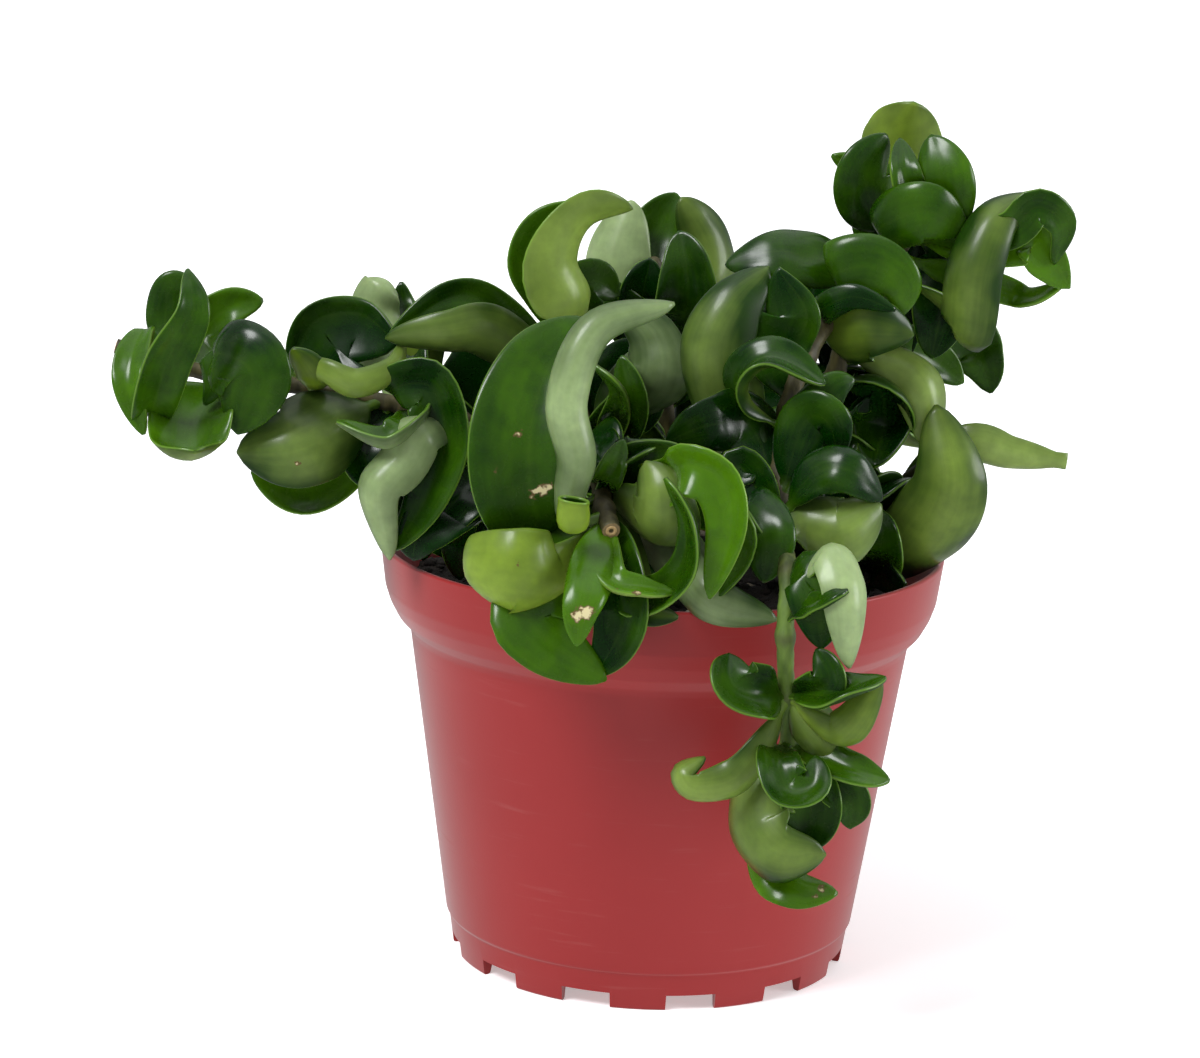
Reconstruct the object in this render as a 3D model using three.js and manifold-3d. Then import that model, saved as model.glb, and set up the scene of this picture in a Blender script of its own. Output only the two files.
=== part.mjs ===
// A wax plant of the curled-leaf kind in a plain plastic nursery pot. Millimetres, +Z up.
// The origin is on the pot's axis, on the surface that it stands on. The front is -Y.
import * as THREE from "three";
import { mergeVertices } from "three/addons/utils/BufferGeometryUtils.js";
import Module from "manifold-3d";

const wasm = await Module();
wasm.setup();

// Driving dimensions of the pot
const RIM_RADIUS = 60;
const POT_HEIGHT = 90;
const WALL = 1.2;
const FLOOR_THICKNESS = 1.3;
const FOOT_RADIUS = 42.2;
const FOOT_STEP_Z = 8;
const COLLAR_Z = 72;
const RIM_TAPER = 0.5;
const PAD_RADIUS = 27;
const CHANNEL_LIFT = 3.6;
const NOTCH_COUNT = 12;
const NOTCH_WIDTH = 10.5;
const NOTCH_HEIGHT = 3.4;
const NOTCH_DEPTH = 6;
const FIRST_NOTCH_DEG = -77;
const DRAIN_COUNT = 6;
const DRAIN_RADIUS = 3;
const DRAIN_SIDES = 12;
const POT_SEGMENTS = 32;

// Driving dimensions of the potting mix
const CLEARANCE = 0.3;
const FACET_ALLOWANCE = 0.3;
const HOLE_CLEARANCE = 0.8;
const SOIL_SEGMENTS = 24;
const SOIL_TOP = 80;
const SOIL_RELIEF = 1.3;
const ROUGH_RADIUS = 48;
const ROOT_HOLE_SIDES = 8;
const ROOT_BOTTOM = 62;
const ROOT_HEIGHTS = [ROOT_BOTTOM, 74, 80, 85];

// Driving dimensions of the plant
const STEM_SIDES = 5;
const STEM_STEP = 14;
const PETIOLE_HALF = 1.3;
const PETIOLE_SHARE = 0.1;
const TIP_HALF = 0.4;
const FOOT_SHARPNESS = 0.8;
const TIP_SHARPNESS = 0.58;
const FACE_SHARE = 0.55;
const MIDRIB_THICKNESS = 1.7;
const MARGIN_THICKNESS = 0.65;
const KEEL_DEG = 10;
const WIDE_LEAF = 25;
const LONG_LEAF = 44;
const SHORT_LEAF = 24;
const LOW_LEAF_CURL = 50;
const LOW_LEAF_RISE = 0.3;
const LOW_LEAF_WIDTH = 0.95;

// The leaves and stems were placed by eye as they look from the front, so a point is [x, z, depth]: where
// it is seen on the upright plane through the pot's axis, and how far behind that plane it lies (less than
// 0 is nearer).
const EYE = new THREE.Vector3(0, -800, 280);

// Each vine has its stems and its leaves. A stem has a root [x, y] in the pot, or none where it branches
// off, its radius and the points that it passes. A leaf is [stem, place along the stem, points of its
// midrib, the way that its upper face looks, width, [left, right] curl in degrees]. A width of two numbers
// is [left, right], and a last number is half the width of a blunt tip. The low leaves, deep in the pot,
// are [millimetres up the first stem, compass angle in degrees, length].
const VINES = {
"left": {
 "low": [[25, 150, 15], [27, 250, 13], [34, 80, 12]],
 "stems": [{"root": [-14, 4], "radius": 1.8, "points": [
   [-22, 100, -4], [-42, 114, -14], [-66, 119, -20], [-80, 121, -22], [-98, 123, -24],
   [-117, 128, -26]]}],
 "leaves": [
  [0, 0.84, [[-100, 113, -33], [-101, 105, -42], [-100, 106, -49]], [0, -1, 0.4], 20, [45, 45]],
  [0, 0.86, [[-95, 127, -34], [-88, 123, -38], [-91, 110, -36]], [0, -1, 0.2], 17, [-25, -25]],
  [0, 0.82, [[-98, 130, -14], [-93, 137, -14], [-86, 139, -14]], [0.3, -1, 1], 12, [45, 45]],
  [0, 0.92, [[-109.4, 114, -35.5], [-106, 126, -41.5], [-101, 136, -43], [-102, 145, -39.5]],
   [0.3, -1, 0], 11, [40, 40]],
  [0, 0.93, [[-106.5, 134, -22], [-105.5, 141, -22], [-101, 143, -22]], [0, -1, 0.2], 8.5, [-30, -30]],
  [0, 0.95, [[-111, 131, -28], [-114, 121, -36], [-111, 109, -38]], [-0.3, -1, 0], 8, [40, 40]],
  [0, 0.84, [[-96.5, 127, -31], [-96, 121, -34], [-98, 116, -34]], [-0.4, -1, 0], 7, [-25, -25]],
  [0, 0.62, [[-71, 113, -30], [-80, 108, -35], [-91, 106, -32]], [0, 1, -0.3], 22, [40, 40]],
  [0, 0.74, [[-79, 126, -14], [-75, 135, -12], [-65, 137, -12], [-57, 131, -18]], [0, -1, 0],
   [4, 17], [30, 35]],
  [0, 0.60, [[-63, 136, -5], [-60.5, 143, -4], [-59, 142, 3]], [0, 1, 0], 13, [40, 40]],
  [0, 0.56, [[-56, 137, 0], [-57, 144, 2]], [0, -1, 0], 9, [40, 40]],
  [0, 0.52, [[-54, 126, -8], [-49, 137, -8]], [0, 1, 0], 14, [45, 45]],
  [0, 0.55, [[-54, 113, -36], [-60, 109, -40], [-70, 113.5, -40]], [0, 0.5, 1], 11, [70, 70]],
  [0, 0.47, [[-52, 114, -36], [-57, 106, -40], [-62, 98, -42], [-58, 84, -37]], [0.5, 1, 0], 14, [55, 60]],
  [0, 0.56, [[-58, 121, -29], [-50, 122, -31], [-46.5, 111, -33], [-50, 98, -36], [-57, 86, -36.5]],
   [-0.3, -1, 0], 14, [40, 40]],
  [0, 0.45, [[-47, 103, -24], [-46, 92, -30], [-43, 85, -28]], [0, -1, 0.2], 18, [30, 30]],
  [0, 0.71, [[-75.5, 122.5, -29], [-79.5, 129, -31]], [0.3, 1, 0], 10, [50, 50]],
  [0, 0.60, [[-66, 107, -18], [-76, 98.5, -20], [-88, 102, -19]], [0, -1, 0.3], 14, [45, 45]],
  [0, 0.72, [[-74, 124, -30], [-66, 121, -33], [-58, 125, -30], [-56, 132, -25]], [0, 1, 0.4], 8, [50, 50]]
 ]},
"middle": {
 "low": [[29, 330, 12], [40, 40, 11], [52, 80, 14]],
 "stems": [{"root": [-4, 14], "radius": 1.8, "points": [[-14, 108, -2], [-22, 126, -12], [-26, 137, -16]]}],
 "leaves": [
  [0, 0.80, [[-37, 133, -26], [-47, 133, -30], [-60, 132, -28]], [0, 1, 0], 13, [40, 40]],
  [0, 0.92, [[-18, 142, -24], [-21, 150, -26], [-18, 158, -25], [-9, 161.5, -22]], [-1, 0, 0.2],
   [10, 13], [90, 90]],
  [0, 0.90, [[-18, 145, -14], [-11, 143, -12]], [0, -1, 0.3], 12, [30, 30]],
  [0, 0.70, [[-4, 124, -25], [-4, 134, -24], [-11, 140, -22]], [0, 1, 0], 17, [45, 45]],
  [0, 0.65, [[-8, 120, -26], [-10, 130, -28]], [0, -1, 0], 12, [35, 35]],
  [0, 0.60, [[-10, 121, -34], [-16, 128, -36]], [0, -1, 0.3], 7, [40, 40]],
  [0, 0.82, [[-36, 138, -18], [-46, 141, -20], [-59, 133, -24]], [0, -1, 0.3], 9, [30, 30]],
  [0, 0.94, [[-28, 142, -20], [-31, 150, -22], [-27, 158, -22], [-15, 162, -21]], [0, -1, 0], 8, [35, 35]]
 ]},
"back": {
 "low": [[28, 150, 13], [40, 90, 16], [54, 30, 17], [56, 150, 17]],
 "stems": [{"root": [2, 22], "radius": 1.8, "points": [[0, 115, 18], [-2, 135, 14], [-4, 150, 12]]}],
 "leaves": [
  [0, 0.85, [[-12, 148, 12], [-9, 163, 16]], [0.2, 1, 0], 17, [45, 45]],
  [0, 0.90, [[-4, 154, 20], [0, 165, 22]], [0, -1, 0], 15, [40, 40]],
  [0, 0.85, [[7, 146, 16], [7, 155, 18], [1, 164, 18]], [-0.3, 1, 0], 15, [45, 45]],
  [0, 0.80, [[3, 141, 0], [3, 149, -2], [1, 157, 0]], [0, -1, 0], 16, [45, 45]],
  [0, 0.75, [[-12, 141, 2], [-18, 146, 4]], [0, -1, 0.3], 12, [30, 30]]
 ]},
"right": {
 "low": [[27, 220, 14], [38, 110, 16], [52, 60, 18], [54, 180, 16], [66, 100, 18]],
 "stems": [{"root": [30, 0], "radius": 2.0, "points": [
   [33, 115, -12], [38, 140, -18], [46, 153, -14], [50, 163, -6], [50, 172, 0]]},
  {"radius": 1.8, "points": [
    [38, 142, -18], [33, 139, -26], [27, 127, -36], [24.5, 112, -43], [25, 97, -52], [27, 84, -66],
    [27, 70, -70], [28, 57, -66], [29, 44, -62]]}],
 "leaves": [
  [1, 0.42, [[12, 118, -38], [8, 131, -39], [12, 142, -37], [20, 150, -32]], [0.2, 1, 0],
   [11, 8], [50, 50]],
  [1, 0.30, [[26.5, 133, -34], [28.5, 141, -35], [22, 150, -34]], [0, -1, 0], [12, 3], [-12, 10]],
  [0, 0.78, [[29, 152, -20], [21, 153, -22], [11, 150, -20]], [0, -1, 0.8], 13, [-25, -25]],
  [0, 0.78, [[34, 149, -26], [41, 151, -28], [47.5, 147.5, -28], [48.5, 141, -26]], [0, -1, 0.2],
   [7, 6], [-25, -25]],
  [0, 0.72, [[33, 136, -24], [41, 137, -31], [51, 137, -28]], [0, 1, 0.1], 18, [35, 35]],
  [1, 0.33, [[17, 121, -43], [16.5, 127, -45], [22, 130.5, -46], [33, 125.5, -46]],
   [-0.2, -0.5, 1], 12, [50, 50]],
  [1, 0.36, [[34, 124, -42], [39, 127, -40]], [0, -1, 0], 9, [-30, -30]],
  [1, 0.46, [[29, 117, -48], [34, 118, -50], [37, 110, -48]], [0, -1, 0.2], 11, [-35, -35]],
  [1, 0.56, [[30, 95, -54], [38, 94, -57], [46, 100, -52]], [0, 1, -0.2], [9, 8], [50, 50]],
  [1, 0.50, [[32, 106, -54], [39, 107, -56], [46, 101, -52]], [0, -1, 0.5], 10, [-25, -25]],
  [0, 0.56, [[44, 126, -18], [46, 118, -12], [44, 108, -20]], [-0.2, -1, -0.2], 20, [70, 70]],
  [0, 0.62, [[47, 131, -16], [54, 126, -18], [56, 112, -18]], [-0.5, 1, -0.3], 14, [45, 45]],
  [0, 0.66, [[54, 132, -6], [62, 127, -4]], [0, -1, 0.3], 12, [40, 40]],
  [0, 0.93, [[47, 172, 4], [47, 179, 3], [48.5, 185.7, 0]], [0, 1, 0.3], 20, [45, 45]],
  [0, 0.90, [[42, 163, -10], [39, 170, -14], [43, 179, -12]], [0.4, -1, 0], 14, [-30, -30]],
  [0, 0.90, [[53.5, 161, -14], [55, 170, -18], [52.5, 179, -14]], [-0.3, -1, 0], 15, [-30, -30]],
  [0, 0.86, [[43, 159, -17], [52, 163, -23], [61, 159, -18]], [0, -1, 0.2], 13, [-25, -25]],
  [0, 0.88, [[42, 159, -8], [38, 163, -8]], [0, -1, 0], 9, [-30, -30]],
  [0, 0.92, [[42, 170, 6], [32, 174, 6]], [0, -1, 0], 8, [30, 30]],
  [0, 0.80, [[57, 143, -18], [61, 137, -24], [62, 151, -26], [67, 163, -22], [76, 167.5, -15]],
   [0.4, 1, 0], 15, [50, 50]],
  [0, 0.85, [[74, 160, -14], [79, 155, -15], [83, 148, -13]], [-0.3, -1, 0.3], [4, 9], [35, 35]],
  [0, 0.82, [[69, 147, -9], [75, 145.5, -12], [82, 149, -12]], [0, -1, 0.4], 7, [35, 35]],
  [0, 0.75, [[61, 137, 4], [66, 131, 4], [68, 125, 2]], [0, -1, 0], 17, [30, 30]],
  [0, 0.86, [[55, 156, -10], [56.5, 145, -12], [55, 132, -12]], [0, -1, 0], 15, [35, 35]],
  [1, 0.50, [[18, 115, -41], [9, 116, -47], [0, 112, -46]], [0, -1, 0.4], 14, [-25, -25]],
  [1, 0.52, [[16, 107, -50], [15, 99, -53]], [0, -1, 0], 10, [30, 30]],
  [1, 0.60, [[17, 97, -56], [22, 92, -62], [22, 82, -62]], [0, -1, 0.2], 14, [-35, -35]],
  [1, 0.70, [[35, 90, -70], [39, 84, -76], [40.5, 75, -78], [41, 64, -75]], [-0.4, 1, 0], 11, [45, 45]],
  [1, 0.70, [[31, 85, -70], [34, 77, -73], [35, 68, -72]], [0, -1, 0.2], 12, [-30, -30]],
  [1, 0.72, [[36, 79, -78], [40, 81, -78]], [0, -1, 1], 5, [30, 30]],
  [1, 0.87, [[22, 57, -72], [16, 59, -74], [15, 66, -70]], [0.4, -1, 0.6], 14, [55, 55]],
  [1, 0.87, [[37, 61, -74], [34, 68, -72]], [0, -1, 0], 9, [35, 35]],
  [1, 0.87, [[36, 57, -74], [42, 59, -76], [49, 62, -73]], [0, -0.6, 1], 9, [45, 45]],
  [1, 0.87, [[24, 46, -70], [18, 37, -72], [9, 35, -73], [6, 39, -72], [11, 42.5, -70]],
   [0.2, 1, 0.6], 10, [45, 45]],
  [1, 0.98, [[26.5, 43, -72], [29, 36, -76], [34.5, 37, -76], [35, 44, -72]], [0.2, -1, 0.6], 11, [45, 45]],
  [1, 0.98, [[21, 39, -64], [20, 27, -68], [27.5, 20, -72], [38, 22, -70]], [0.3, 1, 0.5], 22, [50, 50]],
  [1, 0.98, [[34, 34, -66], [34, 22, -66]], [0, -1, 0.4], 14, [40, 40]],
  [1, 0.98, [[27, 21, -60], [31, 14, -64], [41, 13, -64]], [0, -1, 0.6], 12, [-30, -30]],
  [1, 0.98, [[42, 41, -70], [51, 39, -70]], [0, -1, 1], 9, [45, 45]],
  [1, 0.98, [[42, 36, -66], [43, 28, -64]], [0, -1, 0], 10, [35, 35]],
  [1, 0.87, [[35, 49, -68], [39, 42, -66]], [0, 1, 0], 11, [45, 45]],
  [0, 0.86, [[50, 164, -13], [47.5, 170, -17], [46, 178, -12]], [0.2, -1, 0], 8, [45, 45]],
  [1, 0.87, [[37, 49, -71], [42, 51, -74], [48, 61.5, -72]], [0, 1, 0], 9.5, [40, 40]],
  [0, 0.85, [[69, 160, -20], [75, 165, -22], [80.5, 161.5, -20], [79.5, 153, -16]],
   [0, -1, 0], 9, [30, 30]],
  [0, 0.70, [[31.5, 141, -29], [38, 144.5, -33], [47, 142, -33]], [0, -1, 0.3], 6, [-30, -30]]
 ]},
"side": {
 "low": [[25, 90, 12], [36, 60, 14]],
 "stems": [{"root": [42, 6], "radius": 1.8, "points": [[47, 98, -4], [52, 106, -8], [60, 112, -10]]}],
 "leaves": [
  [0, 0.30, [[46.8, 86, -10], [55.7, 92.3, -22], [60.5, 105, -26], [56.5, 122, -20]], [-0.1, 1, 0],
   [11, 11], [45, 45]],
  [0, 0.62, [[62, 112, -12], [73, 111.5, -12], [84.8, 110.8, -12]], [0, 1, 0.3], 11, [45, 45], 2],
  [0, 0.35, [[47, 90, -26], [46, 99, -24]], [0, -1, 0], 13, [35, 35]]
 ]},
"front": {
 "low": [[27, 180, 13], [36, 250, 12]],
 "stems": [{"root": [-6, -12], "radius": 2.1, "points": [
   [-9, 100, -26], [-13, 104, -40], [-13, 98, -56], [-11, 92, -66]]}],
 "leaves": [
  [0, 0.85, [[-25.5, 93.5, -62], [-29, 108.5, -64], [-26, 125.5, -58], [-17, 137.5, -50]], [0, -1, 0],
   [12.5, 11], [20, 20]],
  [0, 0.94, [[-20, 93, -66], [-19.8, 100, -69], [-18.8, 107, -70], [-21.4, 120, -70],
   [-15.5, 136, -66], [0.5, 141.5, -60]],
   [0, 1, 0], 12, [80, 80]],
  [0, 0.90, [[-20.5, 80.5, -67], [-30.5, 79.5, -75], [-40.5, 81, -69], [-40, 81.5, -58]],
   [0, 1, 0.2], 23, [45, 45]],
  [0, 0.92, [[-15, 82, -74], [-17, 74, -79], [-17.5, 66.5, -78]], [0, -1, 0], 9.5, [-35, -35]],
  [0, 0.86, [[-27, 76, -68], [-25, 68, -71], [-11, 59, -70]], [0, -1, 0.1], 16, [-20, -20]],
  [0, 0.86, [[-8, 78, -68], [-8, 70, -70], [-13, 60, -68]], [-0.3, -1, 0], 14, [35, 35]],
  [0, 0.90, [[-11, 82, -72], [-4, 79.5, -74], [3, 79, -73]], [0, -0.7, 1], 7.5, [55, 55]],
  [0, 0.78, [[-4, 92, -61], [-2, 99, -66], [-4, 107.5, -62]], [0.1, 1, 0], 21, [60, 60]],
  [0, 0.70, [[-11, 100, -50], [-7, 108, -52], [3, 111, -54]], [0, -1, 0], 9, [40, 40]],
  [0, 0.70, [[1, 104, -60], [5, 107, -68], [12, 104, -70], [14.5, 94, -72], [10.5, 78, -72]],
   [0, -1, 0.1],
   [5, 7], [45, 45]],
  [0, 0.82, [[-7, 82, -64], [-1, 80, -68], [5, 86, -71], [5, 95, -73], [0, 104, -73]], [-0.6, -1, 0.3],
   [3, 7], [40, 55]],
  [0, 0.66, [[13, 97, -62], [17, 89, -64], [12, 78, -66]], [0, -1, 0], 10, [30, 30]],
  [0, 0.62, [[5, 83.5, -60], [12, 77, -66], [25, 74, -65]], [0, 1, 0.1], 14, [45, 45]],
  [0, 0.76, [[-12, 104, -56], [-9, 112, -54]], [0, -1, 0], 7, [40, 40]],
  [0, 0.66, [[-8, 108, -52], [-1, 112, -50]], [0, -1, 0.6], 11, [30, 30]],
  [0, 0.72, [[-7, 80, -60], [-3, 75, -67], [4, 73.5, -68]], [0, 1, 0.2], 11, [45, 45]],
  [0, 0.97, [[-18, 90, -72], [-20.8, 92, -75], [-20.8, 101, -75]], [0, -1, 0], 9, [-60, -60]]
 ]},
"rear_left": {
 "low": [[25, 200, 15], [33, 290, 14], [38, 160, 15]],
 "stems": [{"root": [-22, 28], "radius": 1.8, "points": [
   [-25, 108, 36], [-31, 116, 47], [-36, 112, 56], [-38, 101, 60], [-37, 88, 61], [-37, 75, 60]]}],
 "leaves": [
  [0, 0.30, [[-32, 114, 38], [-41, 116, 40]], [0, 0.4, 1], 19, [55, 55]],
  [0, 0.34, [[-20, 116, 42], [-13, 119, 46]], [0.3, 1, 0.4], 17, [45, 45]],
  [0, 0.46, [[-42, 116, 46], [-50, 112, 48]], [-0.5, 0.5, 1], 19, [55, 55]],
  [0, 0.50, [[-25, 114, 60], [-18, 110, 64]], [0, 1, 0.5], 18, [45, 45]],
  [0, 0.66, [[-42, 104, 65], [-46, 93, 66]], [-1, 0.5, 0.3], 15, [50, 50]],
  [0, 0.70, [[-32, 98, 70], [-26, 90, 72]], [0.3, 1, 0.3], 17, [45, 45]],
  [0, 0.97, [[-42, 78, 68], [-44, 66, 68]], [-0.3, 1, 0], 15, [45, 45]],
  [0, 0.98, [[-34, 72, 68], [-31, 62, 70]], [0.3, 1, 0], 14, [45, 45]]
 ]},
"rear_right": {
 "low": [[25, 60, 13], [34, 330, 14], [38, 100, 15]],
 "stems": [{"root": [22, 28], "radius": 1.8, "points": [
   [25, 108, 36], [32, 116, 44], [40, 113, 51], [45, 104, 56], [46, 93, 57]]}],
 "leaves": [
  [0, 0.30, [[18, 114, 42], [10, 118, 46]], [-0.3, 1, 0.5], 18, [50, 50]],
  [0, 0.36, [[38, 118, 38], [46, 120, 36]], [0, 0.2, 1], 19, [55, 55]],
  [0, 0.56, [[34, 114, 60], [28, 110, 66]], [0, 1, 0.5], 18, [45, 45]],
  [0, 0.62, [[49, 114, 50], [56, 113, 48]], [0.3, 0.3, 1], 17, [55, 55]],
  [0, 0.80, [[42, 100, 66], [38, 90, 70]], [0, 1, 0.3], 16, [45, 45]],
  [0, 0.84, [[51, 100, 60], [54, 92, 62]], [1, 0.6, 0.4], 14, [50, 50]],
  [0, 0.98, [[47, 84, 62], [46, 75, 66]], [0.5, 1, 0], 14, [45, 45]]
 ]},
"rear_middle": {
 "low": [[25, 0, 13], [27, 180, 14], [38, 250, 13]],
 "stems": [{"root": [2, 42], "radius": 1.8, "points": [
   [2, 107, 46], [0, 115, 55], [-3, 112, 64], [-4, 101, 68], [-4, 88, 68]]}],
 "leaves": [
  [0, 0.36, [[9, 115, 52], [15, 119, 56]], [0, 0.6, 1], 17, [55, 55]],
  [0, 0.42, [[-7, 116, 58], [-12, 117, 66]], [-0.2, 1, 0.6], 15, [45, 45]],
  [0, 0.60, [[4, 111, 70], [10, 104, 75]], [0.2, 1, 0.4], 17, [45, 45]],
  [0, 0.76, [[-11, 100, 75], [-17, 91, 78]], [-0.2, 1, 0.3], 16, [50, 50]],
  [0, 0.97, [[-6, 82, 76], [-6, 70, 77]], [-0.3, 1, 0], 16, [45, 45]],
  [0, 0.98, [[1, 86, 75], [6, 78, 77]], [0.4, 1, 0], 12, [45, 45]]
 ]}
};

const toRadians = THREE.MathUtils.degToRad;
const UP = new THREE.Vector3(0, 0, 1);

// The real place of a point [x, z, depth] that was read from the front.
function placeOf([x, z, depth]) {
  const nearness = (depth - EYE.y) / -EYE.y;
  return new THREE.Vector3(EYE.x + (x - EYE.x) * nearness, depth, EYE.z + (z - EYE.z) * nearness);
}

// Solids and their meshes
function solidOf(geometry) {
  const bare = new THREE.BufferGeometry().setAttribute("position", geometry.getAttribute("position"));
  bare.setIndex(geometry.index);
  const merged = mergeVertices(bare, 1e-4);
  return new wasm.Manifold(
    new wasm.Mesh({
      numProp: 3,
      vertProperties: merged.attributes.position.array,
      triVerts: new Uint32Array(merged.index.array),
    }),
  );
}

function meshOf(name, solid, material) {
  const { vertProperties, triVerts } = solid.getMesh();
  const geometry = new THREE.BufferGeometry();
  geometry.setAttribute("position", new THREE.BufferAttribute(vertProperties, 3));
  geometry.setIndex(new THREE.BufferAttribute(triVerts, 1));
  geometry.computeVertexNormals();
  const mesh = new THREE.Mesh(geometry, material);
  mesh.name = name;
  return mesh;
}

function turned(profile, segments) {
  const points = profile.map(([radius, z]) => new THREE.Vector2(radius, z));
  return new THREE.LatheGeometry(points, segments).rotateX(Math.PI / 2);
}

function uprightCylinder(radius, bottom, top, x, y, sides) {
  const geometry = new THREE.CylinderGeometry(radius, radius, top - bottom, sides).rotateX(Math.PI / 2);
  return solidOf(geometry.translate(x, y, (top + bottom) / 2));
}

// Pot: a thin wall with a collar, standing on a notched foot ring and on a pad in the middle of its floor
const OUTER_WALL = [
  [FOOT_RADIUS, 0],
  [FOOT_RADIUS + 1.2, FOOT_STEP_Z],
  [FOOT_RADIUS + 1.8, FOOT_STEP_Z + 0.6],
  [RIM_RADIUS - 6.8, COLLAR_Z - 1.5],
  [RIM_RADIUS - 6.2, COLLAR_Z],
  [RIM_RADIUS - 3.8, COLLAR_Z + 2.5],
  [RIM_RADIUS - 2.2, COLLAR_Z + 5.5],
  [RIM_RADIUS - 1.2, COLLAR_Z + 8.5],
  [RIM_RADIUS, POT_HEIGHT - RIM_TAPER],
  [RIM_RADIUS - RIM_TAPER, POT_HEIGHT],
];

const INNER_LEVELS = [2, 3, 6];

function potProfile() {
  const inner = INNER_LEVELS.map((level) => [OUTER_WALL[level][0] - WALL, OUTER_WALL[level][1]]);
  const floorTop = CHANNEL_LIFT + FLOOR_THICKNESS;
  return [
    [0, 0],
    [PAD_RADIUS, 0],
    [PAD_RADIUS + 1.5, CHANNEL_LIFT],
    [FOOT_RADIUS - 2.4, CHANNEL_LIFT],
    [FOOT_RADIUS - 1.6, 0],
    ...OUTER_WALL,
    [RIM_RADIUS - WALL, POT_HEIGHT],
    ...inner.reverse(),
    [FOOT_RADIUS - 1, floorTop],
    [PAD_RADIUS + 0.8, floorTop],
    [PAD_RADIUS - 0.7, FLOOR_THICKNESS],
    [0, FLOOR_THICKNESS],
  ];
}

function footNotch(index) {
  const angle = toRadians(FIRST_NOTCH_DEG + (index * 360) / NOTCH_COUNT);
  const box = new THREE.BoxGeometry(NOTCH_DEPTH, NOTCH_WIDTH, 2 * NOTCH_HEIGHT);
  return solidOf(box.translate(FOOT_RADIUS - 0.4, 0, 0).rotateZ(angle));
}

function drainHole(index) {
  const angle = (index * 2 * Math.PI) / DRAIN_COUNT;
  const ring = (PAD_RADIUS + FOOT_RADIUS) / 2;
  const centre = [ring * Math.cos(angle), ring * Math.sin(angle)];
  return uprightCylinder(DRAIN_RADIUS, -1, 2 * CHANNEL_LIFT, ...centre, DRAIN_SIDES);
}

function makePot() {
  let pot = solidOf(turned(potProfile(), POT_SEGMENTS));
  for (let i = 0; i < NOTCH_COUNT; i++) pot = pot.subtract(footNotch(i));
  for (let i = 0; i < DRAIN_COUNT; i++) pot = pot.subtract(drainHole(i));
  return pot;
}

// Potting mix: it fills the pot to below the rim, with an uneven top and a plain hole for each stem
function soilProfile() {
  const inset = WALL + CLEARANCE + FACET_ALLOWANCE;
  const wall = INNER_LEVELS.map((level) => [OUTER_WALL[level][0] - inset, OUTER_WALL[level][1]]);
  const top = [47, 33, 19, 7, 0].map((radius) => [radius, SOIL_TOP]);
  const bottom = CHANNEL_LIFT + FLOOR_THICKNESS + CLEARANCE;
  return [[0, bottom], [FOOT_RADIUS - WALL, bottom], ...wall, [RIM_RADIUS - 4.4, SOIL_TOP - 1], ...top];
}

function roughen(geometry) {
  const place = geometry.getAttribute("position");
  for (let i = 0; i < place.count; i++) {
    const [x, y] = [place.getX(i), place.getY(i)];
    const radius = Math.hypot(x, y);
    if (place.getZ(i) !== SOIL_TOP || radius > ROUGH_RADIUS) continue;
    const lumps = Math.sin(0.31 * x + 1) * Math.cos(0.27 * y) + Math.sin(0.53 * radius);
    place.setZ(i, SOIL_TOP + (SOIL_RELIEF * lumps) / 2);
  }
  return geometry;
}

function makeSoil(roots) {
  let soil = solidOf(roughen(turned(soilProfile(), SOIL_SEGMENTS)));
  for (const { root, radius } of roots) {
    const [bottom, wide] = [ROOT_BOTTOM - CLEARANCE, radius + HOLE_CLEARANCE];
    soil = soil.subtract(uprightCylinder(wide, bottom, POT_HEIGHT, ...root, ROOT_HOLE_SIDES));
  }
  return soil;
}

// Stems: a straight root end in its hole, then a smooth run through the points
function stemCurve({ root, points }) {
  const start = root ? ROOT_HEIGHTS.map((z) => new THREE.Vector3(...root, z)) : [];
  return new THREE.CatmullRomCurve3([...start, ...points.map(placeOf)], false, "catmullrom", 0.5);
}

function polygon(radius) {
  const corners = [];
  for (let i = 0; i < STEM_SIDES; i++) {
    const angle = (2 * Math.PI * i) / STEM_SIDES;
    corners.push(new THREE.Vector2(radius * Math.cos(angle), radius * Math.sin(angle)));
  }
  return new THREE.Shape(corners);
}

function stemSolid(stem, curve) {
  const run = { steps: Math.ceil(curve.getLength() / STEM_STEP), extrudePath: curve, curveSegments: 1 };
  return solidOf(new THREE.ExtrudeGeometry(polygon(stem.radius), run));
}

// Leaves: a thick blade about a curved midrib, curled towards its upper face, with a narrow stalk
function squareTo(tangent, vector) {
  return vector.clone().addScaledVector(tangent, -vector.dot(tangent)).normalize();
}

function midribFrames(points, face, steps) {
  const curve = new THREE.CatmullRomCurve3(points, false, "catmullrom", 0.5);
  const centres = curve.getSpacedPoints(steps);
  const along = centres.map((_, i) => curve.getTangentAt(i / steps));
  const middle = Math.round(steps * FACE_SHARE);
  const normals = [];
  normals[middle] = squareTo(along[middle], face);
  for (let i = middle + 1; i <= steps; i++) normals[i] = squareTo(along[i], normals[i - 1]);
  for (let i = middle - 1; i >= 0; i--) normals[i] = squareTo(along[i], normals[i + 1]);
  return centres.map((centre, i) => {
    const side = normals[i].clone().cross(along[i]);
    return { centre, normal: normals[i], side };
  });
}

function fullnessAt(share) {
  const blade = Math.max(0, (share - PETIOLE_SHARE) / (1 - PETIOLE_SHARE)) ** 0.85;
  return Math.sin(Math.PI * blade) ** (blade < 0.5 ? FOOT_SHARPNESS : TIP_SHARPNESS) || 0;
}

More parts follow.
